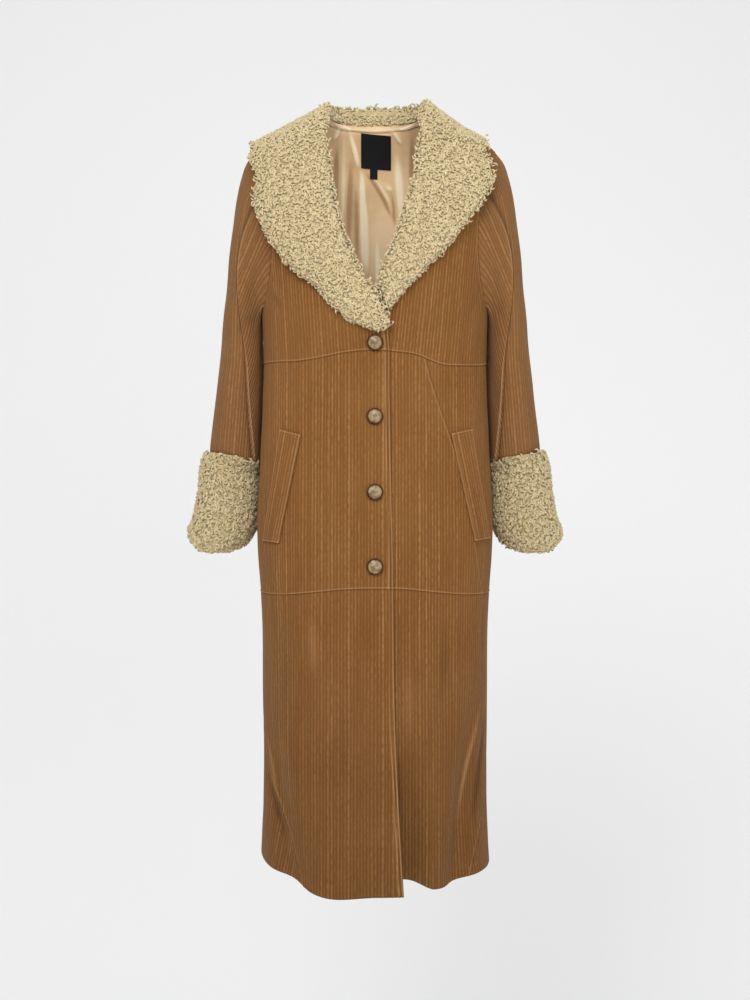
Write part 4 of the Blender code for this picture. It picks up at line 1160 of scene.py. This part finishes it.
def curls(name, spots, outward, on_edge, size, fringe, picker, finish):
    """One mesh of short curled locks: each leaves the skin, bends round and lies down with a thin tip."""
    count = len(spots)
    down = np.array([0.0, 0.0, -1.0]) + outward * outward[:, 2:]
    down /= np.maximum(np.linalg.norm(down, axis=-1, keepdims=True), LEAST_LENGTH)
    side = np.cross(outward, down)
    heading = picker.normal(0.0, CURL_SCATTER, count)
    share = np.linspace(0, 1, CURL_RINGS)
    length = size * picker.uniform(*CURL_LENGTHS, count)
    bend = picker.uniform(*CURL_BEND, count) * picker.choice([-1, 1], count)
    angle = heading[:, None] + bend[:, None] * (share - CURL_TURN_START)
    step = length[:, None] / (CURL_RINGS - 1)
    ahead = np.cumsum(np.cos(angle) * step, axis=1) - length[:, None] / 2
    aside = np.cumsum(np.sin(angle) * step, axis=1)
    lift = picker.uniform(*CURL_LIFTS, count) * np.where(on_edge, fringe, CURL_RISE)
    peak = np.where(on_edge, FRINGE_PEAK, CURL_PEAK)[:, None]
    rise = lift[:, None] * np.sin(math.pi * (CURL_FOOT + peak * share)) - CURL_ROOT
    spine = spots[:, None] + down[:, None] * ahead[..., None] + side[:, None] * aside[..., None]
    spine = spine + outward[:, None] * rise[..., None]
    thick = size * CURL_THICK * picker.uniform(*CURL_THICKNESSES, count)
    thick = thick * np.where(on_edge, FRINGE_THIN, 1.0)
    swell = np.sin(math.pi * (CURL_SWELL_START + CURL_SWELL_SPAN * share)) ** CURL_SWELL_POWER
    radius = thick[:, None] * swell
    sides = side[:, None] * np.cos(angle)[..., None] - down[:, None] * np.sin(angle)[..., None]
    # Each lock's tone: a random share, and painted shade at the root that gives way to a light tip
    own_tone = picker.uniform(0, 1, count)[:, None]
    tip_tone = ease(CURL_ROOT_SHADE_START + CURL_ROOT_SHADE_SPAN * share)
    tone = CURL_TONE_RANDOM * own_tone + (1 - CURL_TONE_RANDOM) * tip_tone
    return tubes(name, spine, sides, outward, radius, CURL_SIDES, finish, tone)


def drawn_in(points, edges, inset):
    """A grid with some of its edges moved inwards, or outwards by a negative inset."""
    moved = points.copy()
    for edge, beside in (GRID_EDGES[name] for name in edges):
        way = points[beside] - points[edge]
        moved[edge] += inset * way / np.linalg.norm(way, axis=-1, keepdims=True)
    return moved


def edge_strips(outer, inner, edges):
    """The free edges of a fur piece, each with the way it faces."""
    strips = []
    for edge, beside in (GRID_EDGES[name] for name in edges):
        way = outer[edge] - outer[beside]
        way = way / np.linalg.norm(way, axis=-1, keepdims=True)
        middle = (outer[edge] + inner[edge]) / 2
        strips.append((np.stack([outer[edge], middle, inner[edge]]), np.stack([way, way, way])))
    return strips


def fur(name, outer, inner, finish, size, spacing, edges, fringe=FRINGE_RISE, sewn=(), closed=False):
    """A soft backing with curled locks all over its outside, in a right and a left mesh."""
    ring = np.concatenate([outer[:, -1:], outer, outer[:, :1]], axis=1) if closed else outer
    normal = grid_normal(ring)
    normal = normal[:, 1:-1] if closed else normal
    skin = drawn_in(outer - CURL_SKIN * normal, edges, FUR_INSET)
    inner = drawn_in(inner, edges, FUR_INSET)
    grain = np.stack([runs(outer, 1), runs(outer, 0)], -1)
    # The backing takes a mid tone of the painted root shade
    tone = np.full(skin.shape[:2], BACKING_PAINTED_SHADE)
    backing = wall(name + "_backing", skin, inner, finish, grain, tone, closed)
    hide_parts(name)
    picker = np.random.default_rng(FUR_SEEDS[name])
    if closed:
        skin, normal, inner = (np.append(grid, grid[:, :1], axis=1) for grid in (skin, normal, inner))
    found = [strewn(drawn_in(skin, sewn, SEWN_INSET), normal, spacing, picker)]
    for strip, way in edge_strips(skin, inner, edges):
        found.append(strewn(strip, way, spacing * FRINGE_CLOSER, picker))
    spots, outward = (np.concatenate(parts) for parts in zip(*found))
    on_edge = np.arange(len(spots)) >= len(found[0][0])
    middle = np.median(spots[:, 0])
    halves = {"right": spots[:, 0] < middle, "left": spots[:, 0] >= middle}
    for half, those in halves.items():
        curls(f"{name}_curls_{half}", spots[those], outward[those], on_edge[those], size,
                           fringe, picker, finish)


# Materials
class Nodes:
    """A material's node tree, with short ways to add and join nodes."""

    def __init__(self, name):
        self.material = bpy.data.materials.new(name)
        self.material.use_nodes = True
        self.tree = self.material.node_tree
        self.shader = self.tree.nodes["Principled BSDF"]

    def add(self, kind, inputs=(), **settings):
        node = self.tree.nodes.new("ShaderNode" + kind)
        for name, value in settings.items():
            setattr(node, name, value)
        for name, value in dict(inputs).items():
            self.join(value, node.inputs[name])
        return node

    def join(self, value, socket):
        if isinstance(value, bpy.types.NodeSocket):
            self.tree.links.new(value, socket)
        else:
            socket.default_value = value

    def math(self, operation, first, second=0.0):
        return self.add("Math", {0: first, 1: second}, operation=operation).outputs[0]

    def spread(self, value, low, high, to_low, to_high):
        numbers = {"Value": value, "From Min": low, "From Max": high, "To Min": to_low, "To Max": to_high}
        return self.add("MapRange", numbers, interpolation_type="SMOOTHSTEP").outputs[0]

    def grain(self):
        return self.add("UVMap", uv_map="grain").outputs[0]

    def tone(self):
        return self.add("Attribute", attribute_name="tone").outputs["Fac"]

    def spot(self):
        return self.add("TexCoord").outputs["Object"]

    def level(self):
        return self.add("SeparateXYZ", {"Vector": self.spot()}).outputs["Z"]

    def noise(self, vector, scale, detail=2.0):
        inputs = {"Vector": vector, "Scale": scale, "Detail": detail}
        return self.add("TexNoise", inputs).outputs["Fac"]

    def streaked(self, across, down, over, along_it, detail):
        """Noise with its own number of changes in a metre across and along the grain."""
        inputs = {"X": self.math("MULTIPLY", across, over), "Y": self.math("MULTIPLY", down, along_it)}
        return self.noise(self.add("CombineXYZ", inputs).outputs[0], 1.0, detail)

    def blend(self, share, first, second, blend_type="MIX"):
        node = self.add("Mix", data_type="RGBA", blend_type=blend_type)
        self.join(share, node.inputs[0])
        self.join(first, node.inputs[6])
        self.join(second, node.inputs[7])
        return node.outputs[2]

    def layered(self, colour, layers, **drivers):
        """A colour with a table's layers blended over it in turn."""
        drivers.update(level=self.level(), tone=self.tone())
        for driver, low, high, start, end, other, way in layers:
            colour = self.blend(self.spread(drivers[driver], low, high, start, end), colour, other, way)
        return colour

    def bump(self, height, distance, strength=1.0, below=None):
        node = self.add("Bump", {"Height": height, "Distance": distance, "Strength": strength})
        if below is not None:
            self.join(below, node.inputs["Normal"])
        return node.outputs["Normal"]

    def set(self, **values):
        for name, value in values.items():
            self.join(value, self.shader.inputs[name.replace("_", " ")])


def wales(nodes, across, streaks):
    """Ridges of uneven width along the grain, how much nap they keep, and which get a painted highlight."""
    wander = nodes.spread(streaks["wander"], 0.2, 0.8, -WALE_WANDER, WALE_WANDER)
    jitter = nodes.spread(streaks["dash"], 0.2, 0.8, -WALE_WANDER, WALE_WANDER)
    shifted = nodes.math("ADD", across, nodes.math("ADD", wander, jitter))
    cells = {"W": nodes.math("MULTIPLY", shifted, WALES_PER_METRE), "Scale": 1.0, "Randomness": WALE_RANDOM}
    lines = nodes.add("TexVoronoi", cells, voronoi_dimensions="1D", feature="DISTANCE_TO_EDGE")
    ridge = nodes.spread(lines.outputs["Distance"], 0.12, 0.42, 0.0, 1.0)
    each = nodes.add("TexVoronoi", cells, voronoi_dimensions="1D", feature="F1")
    chance = nodes.add("SeparateColor", {"Color": each.outputs["Color"]}).outputs["Red"]
    long_marks = nodes.spread(streaks["streak"], 0.35, 0.65, 0.45, 1.0)
    kept = nodes.math("MULTIPLY", long_marks, nodes.spread(streaks["dash"], 0.3, 0.62, 0.35, 1.0))
    bright = nodes.math("MULTIPLY", nodes.spread(chance, 0.45, 1.0, 0.0, 1.0), kept)
    return ridge, kept, bright


def corduroy(name, haze):
    """Uneven wales along the grain with painted shade in their grooves and a painted highlight on some
    ridges, a mottled nap, worn patches and a darker hem, greyed by the haze; painted highlight and shade
    also follow seams and creases.
    """
    nodes = Nodes(name)
    parts = nodes.add("SeparateXYZ", {"Vector": nodes.grain()}).outputs
    streaks = {kind: nodes.streaked(parts["X"], parts["Y"], *counts) for kind, counts in GRAIN.items()}
    ridge, kept, bright = wales(nodes, parts["X"], streaks)
    # Painted highlight on some wale ridges; the grooves are painted darker as shade
    shine = nodes.math("MULTIPLY", nodes.math("MULTIPLY", bright, ridge), WALE_SHINE)
    colour = nodes.blend(nodes.math("MULTIPLY", ridge, kept), CLOTH_GROOVE_SHADE_AND_DARK_NAP, CLOTH_RIDGE)
    colour = nodes.blend(shine, colour, CLOTH_PAINTED_HIGHLIGHT)
    patch = nodes.noise(nodes.spot(), CLOTH_PATCHES, 4.0)
    colour = nodes.layered(colour, CLOTH_LAYERS, patch=patch, **streaks)
    colour = nodes.blend(haze, colour, CLOTH_HAZE)
    fibres = nodes.bump(streaks["nap"], NAP_HEIGHT, 0.6, nodes.bump(ridge, WALE_HEIGHT))
    nodes.set(Base_Color=colour, Roughness=nodes.spread(ridge, 0.0, 1.0, 0.98, 0.80), Normal=fibres)
    nodes.set(Sheen_Weight=0.12, Sheen_Roughness=0.45, Sheen_Tint=(0.95, 0.62, 0.34, 1.0))
    nodes.set(Specular_IOR_Level=0.15)
    return nodes.material


def fur_pile():
    """Cream curls with painted shade at their roots and in the gaps between clumps, and a little darker on
    the cuffs.
    """
    nodes = Nodes("fur_pile")
    place = nodes.spot()
    # Clumps darken towards their edges: painted shade in the gaps between them
    clumps = nodes.add("TexVoronoi", {"Vector": place, "Scale": FUR_CLUMPS}, feature="SMOOTH_F1")
    colour = nodes.layered(FUR_SHADE, FUR_LAYERS, patch=nodes.noise(place, FUR_PATCHES, 3.0),
                           clumps=clumps.outputs["Distance"])
    strands = nodes.noise(place, FUR_STRANDS, 2.0)
    nodes.set(Base_Color=colour, Roughness=0.92, Normal=nodes.bump(strands, 0.0003, 0.5))
    nodes.set(Sheen_Weight=0.35, Sheen_Roughness=0.5, Sheen_Tint=(1.0, 0.94, 0.8, 1.0))
    nodes.set(Specular_IOR_Level=0.2)
    return nodes.material


def satin():
    """A smooth lining with a fine weave and a soft gloss, with a painted highlight on its ridges and painted
    shade in its creases.
    """
    nodes = Nodes("satin_lining")
    weave = {"Vector": nodes.grain(), "Scale": SATIN_THREADS, "Distortion": 1.2}
    threads = nodes.add("TexWave", weave).outputs["Fac"]
    patch = nodes.noise(nodes.spot(), SATIN_PATCHES, 3.0)
    nodes.set(Base_Color=nodes.layered(SATIN_SHADE, SATIN_LAYERS, patch=patch))
    nodes.set(Roughness=nodes.spread(patch, 0.3, 0.7, 0.30, 0.42), Normal=nodes.bump(threads, 0.0001, 0.35))
    nodes.set(Specular_Tint=(1.0, 0.84, 0.58, 1.0), Specular_IOR_Level=0.4, Anisotropic=0.4)
    return nodes.material


def woven_black():
    """Plain black label tape with fine ribs."""
    nodes = Nodes("label_tape")
    weave = {"Vector": nodes.grain(), "Scale": TAPE_RIBS, "Distortion": 0.6}
    ribs = nodes.add("TexWave", weave).outputs["Fac"]
    colour = nodes.blend(ribs, TAPE_SHADE, TAPE_LIGHT)
    nodes.set(Base_Color=colour, Roughness=0.75, Normal=nodes.bump(ribs, 0.0002, 0.6))
    nodes.set(Specular_IOR_Level=0.25)
    return nodes.material


def thread():
    """Stitching thread, close to the cloth's own colour."""
    nodes = Nodes("stitch_thread")
    twist = nodes.noise(nodes.spot(), THREAD_TWISTS, 1.0)
    colour = nodes.blend(twist, THREAD_SHADE, THREAD_LIGHT)
    nodes.set(Base_Color=colour, Roughness=0.7, Sheen_Weight=0.15)
    return nodes.material


def button_face(name, shade, light, roughness, polish, gloss):
    """Button stuff with soft streaks, under a coat of polish."""
    nodes = Nodes(name)
    streaks = nodes.noise(nodes.spot(), BUTTON_STREAKS, 4.0)
    colour = nodes.blend(nodes.spread(streaks, 0.35, 0.65, 0.0, 1.0), shade, light)
    nodes.set(Base_Color=colour, Roughness=nodes.spread(streaks, 0.3, 0.7, roughness, roughness + 0.12))
    nodes.set(Coat_Weight=polish, Coat_Roughness=0.2, Normal=nodes.bump(streaks, 0.0002, 0.25))
    nodes.set(Specular_IOR_Level=gloss)
    return nodes.material


def studio_paint():
    """Pale paint, a little darker towards the back, so that it looks even."""
    nodes = Nodes("studio_paint")
    parts = nodes.add("SeparateXYZ", {"Vector": nodes.spot()})
    far = nodes.math("ADD", parts.outputs["Y"], parts.outputs["Z"])
    colour = nodes.blend(nodes.spread(far, PAINT_NEAR, PAINT_BEND, 0.0, 1.0), STAGE_NEAR, STAGE_BEND)
    colour = nodes.blend(nodes.spread(far, PAINT_BEND, PAINT_FAR, 0.0, 1.0), colour, STAGE_FAR)
    nodes.set(Base_Color=colour, Roughness=0.9, Specular_IOR_Level=0.1)
    return nodes.material


def upper_rows():
    """Levels of the bodice's rows, close together at the neck and the waist."""
    steps = np.array(EDGE_STEPS)
    rows = np.concatenate([refined(UPPER_LEVELS, ROW_PARTS), NECK_TOP - steps, WAIST_SIDE + steps])
    rows = np.unique(np.round(rows, 5))
    keep = np.append(True, np.diff(rows) > LEAST_STEP)
    return rows[keep][::-1]


def even_rows(high, low):
    return high - (high - low) * edge_shares(high - low, ROW_STEP)


def moved(turn_of, by, sign=1):
    """A panel edge shifted a little round the body, or mirrored."""
    return lambda level: sign * (turn_of(level) + by)


def side_seam(level):
    """Angle of a straight side seam."""
    return np.full_like(level, math.pi / 2)


def bordered(form, **others):
    """One form on every edge of a piece of cloth, apart from the edges that are named."""
    return {**dict.fromkeys(("start", "end", "top", "foot"), form), **others}


def panel_table():
    """Each panel of the body: rows, start, end, top, foot, surface, width and the forms of its edges."""
    upper, waist, skirt = upper_rows(), even_rows(WAIST_SIDE, HIP_SIDE), even_rows(HIP_SIDE, HEM)
    right_arm, left_arm = (moved(armhole_turn, ARM_REACH, sign) for sign in SIGNS.values())
    right_side, left_side = map(side_turn, SIGNS)
    right_edge, left_edge = map(edge_turn, SIGNS)
    right_pocket, left_pocket = map(pocket_turn, SIGNS)
    right_hem, left_hem = map(hem_level, SIGNS)
    under = left_front_surface
    seams, skirts = bordered("seam", foot="ridge"), bordered("seam", foot="hem")
    return {
        "front_right_upper": (upper, right_arm, right_edge, neck_level, level_waist, body, 0.20,
                              dict(seams, start="soft", end="fold")),
        "front_left_upper": (upper, left_edge, left_arm, neck_level, level_waist, under, 0.20,
                             dict(seams, start="fold", end="soft")),
        "back_upper": (upper, lambda level: math.pi - armhole_turn(level),
                       lambda level: math.pi + armhole_turn(level), neck_level, level_waist, body, 0.42,
                       dict(seams, start="soft", end="soft")),
        "front_right_waist_side": (waist, moved(side_seam, 0.0, -1), moved(right_pocket, SEAM_REACH),
                                   waist_level, hip_level, body, 0.11, dict(seams, end="flat")),
        "front_right_waist_center": (waist, moved(right_pocket, -SEAM_REACH), right_edge, waist_level,
                                     hip_level, body, 0.15, dict(seams, start="flat", end="fold")),
        "front_left_waist_center": (waist, left_edge, moved(left_pocket, SEAM_REACH), waist_level,
                                    hip_level, under, 0.15, dict(seams, start="fold", end="soft")),
        "front_left_waist_side": (waist, moved(left_pocket, -SEAM_REACH), side_seam, waist_level, hip_level,
                                  under, 0.11, dict(seams, start="flat")),
        "back_waist": (waist, side_seam, moved(side_seam, -2 * math.pi, -1), waist_level, hip_level, body,
                       0.48, seams),
        "front_right_skirt": (skirt, right_side, right_edge, hip_level, right_hem, body, 0.24,
                              dict(skirts, start="soft", end="fold")),
        "front_left_skirt": (skirt, left_edge, left_side, hip_level, left_hem, under, 0.24,
                             dict(skirts, start="fold", end="soft")),
        "back_skirt": (skirt, left_side, moved(right_side, 2 * math.pi), hip_level, back_hem_level, body,
                       0.62, skirts),
    }


def body_panels(finish):
    """All the panels of the body; gives their outer points and normals for the stitches."""
    surfaces = {}
    for name, (rows, start, end, top, foot, surface, width, edges) in panel_table().items():
        turns, levels = fine_grid(rows, start, end, top, foot, width)
        points = surface(turns, levels)
        normal = facing(surface, turns, levels)
        relief = crease_relief(points, by_angle(surface), BODY_CREASES)
        middle = math.pi if name.startswith("back") else 0.0
        across = ring_run(body, turns, levels, middle) + GRAIN_LEAN.get(name, 0.0) * (levels - WAIST_SIDE)
        surfaces[name] = (cloth(name, points, normal, relief, across, edges, finish), normal)
    return surfaces


def pocket_welts(finish):
    """Slanted welts on the fronts; gives their outer points and normals for the stitches."""
    surfaces = {}
    down = edge_shares(WELT_LENGTH, COLUMN_STEP)[:, None]
    over = edge_shares(WELT_WIDTH, COLUMN_STEP)[None, :, None]
    for side, corners in WELTS.items():
        inner_top, inner_low = np.array(corners["inner"])
        outer_top, outer_low = np.array(corners["outer"])
        inner = inner_top + (inner_low - inner_top) * down
        outer = outer_top + (outer_low - outer_top) * down
        spots = inner[:, None, :] + (outer - inner)[:, None, :] * over
        levels = spots[..., 1]
        turns = turn_at(spots[..., 0], levels)
        surface = body if side == "right" else left_front_surface
        normal = facing(surface, turns, levels)
        points = surface(turns, levels) + (CLOTH + WELT_GAP) * normal
        if side == "right":
            points, normal = points[:, ::-1], normal[:, ::-1]
        flat = np.zeros(levels.shape)
        shell = cloth("welt_" + side, points, normal, flat, runs(points, 1), bordered("ridge"), finish)
        surfaces["welt_" + side] = (shell, normal)
    return surfaces


def back_share(share):
    """A line down the back at a share of the way between the armholes."""
    return lambda level: math.pi + armhole_turn(level) * (2 * share - 1)


def lining_top(turn):
    return neck_level(turn) + LINING_RAISE


def lining(finish):
    """The two halves of the back lining, creased more in painted highlight and shade than in their form."""
    surface = inner_surface(LINING_DEPTH)
    rows = refined(upper_rows(), LINING_PARTS)
    for name, (first, last) in LINING_HALVES.items():
        turns, levels = fine_grid(rows, back_share(first), back_share(last), lining_top, level_waist,
                                  LINING_COLUMNS * COLUMN_STEP)
        points = surface(turns, levels)
        shade = crease_relief(points, by_x_behind(surface), LINING_CREASES)
        grids = (points, -facing(body, turns, levels), shade, ring_run(body, turns, levels, math.pi))
        points, normal, shade, across = (grid[:, ::-1] for grid in grids)
        # Only clipped creases go into the form; their full height is painted as highlight and shade
        cloth(name, points, normal, np.clip(shade, LINING_DIP, LINING_RISE), across,
              bordered("flat", top="facing"), finish, LINING, shade)


def labels(finish):
    """The plain label on the lining, and the tab below it."""
    tags = {
        "label": (LABEL_WIDTH, LABEL_TOP, LABEL_LOW, LABEL_SHIFT, "woven"),
        "size_tab": (TAB_WIDTH, LABEL_LOW - SEAM_GAP, TAB_LOW, TAB_SHIFT, "flat"),
    }
    for name, (width, top, low, shift, edge) in tags.items():
        over = np.linspace(width / 2, -width / 2, int(width / LABEL_STEP))
        spots, levels = np.meshgrid(over, np.linspace(top, low, int((top - low) / LABEL_STEP)))
        spots = spots + shift
        levels = levels - LABEL_TILT * (spots - LABEL_SHIFT)
        turns = math.pi - turn_at(spots, levels)
        points = inner_surface(LABEL_DEPTH)(turns, levels)[:, ::-1]
        normal = -facing(body, turns, levels)[:, ::-1]
        cloth(name, points, normal, np.zeros(levels.shape), runs(points, 1), bordered(edge), finish,
              LABEL_THICK)


def sleeve_run(points, middle):
    """Length round the sleeve from its middle line to each point."""
    level = points[..., 2]
    inner, outer, half_depth, centre_y = columns_at(SLEEVE, level, *TUBE_COLUMNS)
    over = (points[..., 0] - (outer + inner) / 2) / ((outer - inner) / 2)
    turn = np.arctan2((centre_y - points[..., 1]) / half_depth, over)
    turn = middle + (turn - middle + math.pi) % (2 * math.pi) - math.pi
    return ring_run(sleeve_ring, turn, level, middle)


def sleeves(finish):
    """Sleeves of a top and an under piece, with a fold down the front between them."""
    shares = refined(SLEEVE_ROWS, SLEEVE_PARTS)
    count = len(armhole_loop()[0])
    front, back = ARMHOLE_FRONT_POINT * ROW_PARTS, ARMHOLE_BACK_POINT * ROW_PARTS
    kinds = {
        "top": (np.arange(back, front + 1), back_seam_turn, front_seam_turn),
        "under": (np.arange(front, count + back) % (count - 1), front_seam_turn,
                  lambda share: back_seam_turn(share) + 2 * math.pi),
    }
    for side, sign in SIGNS.items():
        for kind, (columns, start, end) in kinds.items():
            points, normal = sleeve_surface(columns, start, end, shares)
            relief = crease_relief(points, by_angle(sleeve_ring), SLEEVE_CREASES[side])
            across = sleeve_run(points, SLEEVE_MIDDLE[kind]) + SLEEVE_LEAN[kind] * points[..., 2]
            points, normal = mirrored(points, sign), mirrored(normal, sign)
            if side == "left":
                grids = (points, normal, relief, across)
                points, normal, relief, across = (grid[:, ::-1] for grid in grids)
            edges = bordered("sleeve", top="flat", foot="seam")
            edges["end" if (kind == "top") == (side == "right") else "start"] = SLEEVE_FOLD[kind]
            cloth(f"sleeve_{side}_{kind}", points, normal, relief, across, edges, finish)


def cuffs(finish):
    """Turned-back cuffs, rounded at the end and sewn on at the wrist."""
    levels = WRIST + (CUFF_END - WRIST) * np.linspace(0, 1, CUFF_FINE_ROWS)
    turns, rows = np.meshgrid(np.linspace(0, 2 * math.pi, CUFF_FINE_COLUMNS, endpoint=False), levels)
    slim = dict(CUFF)
    for name, shift in (("inner", CUFF_WALL), ("outer", -CUFF_WALL), ("half_depth", -CUFF_WALL)):
        slim[name] = [value + shift for value in CUFF[name]]
    for side, sign in SIGNS.items():
        outer, inner = (mirrored(cuff_ring(table, turns, rows), sign) for table in (CUFF, slim))
        if side == "left":
            outer, inner = outer[:, ::-1], inner[:, ::-1]
        fur("cuff_" + side, outer, inner, finish, CUFF_CURL, CUFF_SPACING, ("foot",), CUFF_FRINGE, ("top",),
            closed=True)


def lapels(finish):
    for side, table in LAPELS.items():
        lines = [along(table, column, LAPEL_FINE_ROWS) for column in table]
        outer, inner = lapel_walls(side, *lines, LAPEL_FINE_COLUMNS)
        if side == "right":
            outer, inner = outer[:, ::-1], inner[:, ::-1]
        fur("lapel_" + side, outer, inner, finish, LAPEL_CURL, LAPEL_SPACING, ("foot", "start", "end"))


def collar(finish):
    outer, inner = collar_walls(COLLAR_FINE_ROWS, COLLAR_FINE_COLUMNS)
    fur("collar", outer[:, ::-1], inner[:, ::-1], finish, COLLAR_CURL, COLLAR_SPACING, ("foot",))


def buttons(dome_finish, rim_finish):
    """Turned buttons: a dark raised rim round a polished dome."""
    reach, height = np.array(BUTTON_PROFILE).T
    turn = np.linspace(0, 2 * math.pi, BUTTON_FINE_STEPS, endpoint=False)
    for number, level in enumerate(BUTTON_LEVELS, 1):
        normal = facing(body, np.array(0.0), np.array(level))
        spot = body(0.0, level) + normal * BUTTON_GAP
        side = np.array([1.0, 0.0, 0.0])
        up = np.cross(normal, side)
        ring = side[None, None] * np.cos(turn)[None, :, None] + up[None, None] * np.sin(turn)[None, :, None]
        points = spot + ring * (BUTTON_RADIUS * reach)[:, None, None]
        points = points + normal * (BUTTON_HEIGHT * height)[:, None, None]
        faces = grid_faces(len(reach), BUTTON_FINE_STEPS, closed=True)
        name = f"button_{number}_turned"
        piece = mesh_piece(name, points.reshape(-1, 3), faces, dome_finish)
        piece.data.materials.append(rim_finish)
        for polygon in piece.data.polygons:
            polygon.material_index = int(polygon.index // BUTTON_FINE_STEPS >= BUTTON_DOME_ROWS)
        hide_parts(f"button_{number}")


def stitched_lines(surfaces, finish):
    """Stitches beside the edges that the coat shows them on."""
    for group, (panels, edges, distance) in STITCHED.items():
        rows = []
        for outer, normal in (surfaces[name] for name in panels):
            for edge in edges:
                line = inset_line(outer, edge, distance)
                away = inset_line(outer + normal, edge, distance) - line
                rows.append(stitch_row(line, away))
        stitches(group, rows, finish)


# Stage, light and camera
def stage():
    """A pale floor that bends up into a backdrop."""
    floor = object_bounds()[0][2] - FLOOR_DROP
    turn = np.linspace(0, math.pi / 2, SWEEP_STEPS)
    bend_y = BACKDROP_Y - SWEEP + SWEEP * np.sin(turn)
    bend_z = floor + SWEEP - SWEEP * np.cos(turn)
    y = np.concatenate([[-STAGE_REACH], bend_y, [BACKDROP_Y]])
    z = np.concatenate([[floor], bend_z, [floor + STAGE_REACH]])
    points = [(x, y[row], z[row]) for row in range(len(y)) for x in (-STAGE_REACH, STAGE_REACH)]
    mesh = bpy.data.meshes.new("studio_sweep")
    mesh.from_pydata(points, [], grid_faces(len(y), 2).tolist())
    mesh.polygons.foreach_set("use_smooth", np.ones(len(mesh.polygons), bool))
    mesh.materials.append(studio_paint())
    sweep = bpy.data.objects.new("studio_sweep", mesh)
    bpy.context.scene.collection.objects.link(sweep)
    sweep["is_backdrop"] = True


def lights():
    world = bpy.data.worlds.new("studio_air")
    world.use_nodes = True
    air = world.node_tree.nodes["Background"]
    air.inputs["Color"].default_value = (1.0, 1.0, 1.0, 1.0)
    air.inputs["Strength"].default_value = AIR_STRENGTH
    bpy.context.scene.world = world
    for name, (spot, aim, size, watts) in LIGHTS.items():
        data = bpy.data.lights.new(name, "AREA")
        data.shape = "DISK"
        data.size = size
        data.energy = watts
        lamp = bpy.data.objects.new(name, data)
        bpy.context.scene.collection.objects.link(lamp)
        lamp.location = spot
        way = Vector(aim) - Vector(spot)
        lamp.rotation_euler = way.to_track_quat("-Z", "Y").to_euler()


def camera():
    data = bpy.data.cameras.new("photo_camera")
    data.sensor_fit = "VERTICAL"
    data.sensor_height = SENSOR_HEIGHT
    data.lens = CAMERA_LENS
    view = bpy.data.objects.new("photo_camera", data)
    bpy.context.scene.collection.objects.link(view)
    view.location = CAMERA_SPOT
    view.rotation_euler = (math.pi / 2, 0.0, 0.0)
    bpy.context.scene.camera = view


def main():
    bpy.context.scene.view_settings.view_transform = "Standard"
    cloth_finish = corduroy("corduroy_cloth", 0.0)
    pile = fur_pile()
    surfaces = {**body_panels(cloth_finish), **pocket_welts(cloth_finish)}
    sleeves(corduroy("corduroy_sleeve", SLEEVE_HAZE))
    lining(satin())
    labels(woven_black())
    cuffs(pile)
    lapels(pile)
    collar(pile)
    buttons(*(button_face(name, *finish) for name, finish in BUTTON_FINISHES.items()))
    stitched_lines(surfaces, thread())
    stage()
    lights()
    camera()


main()
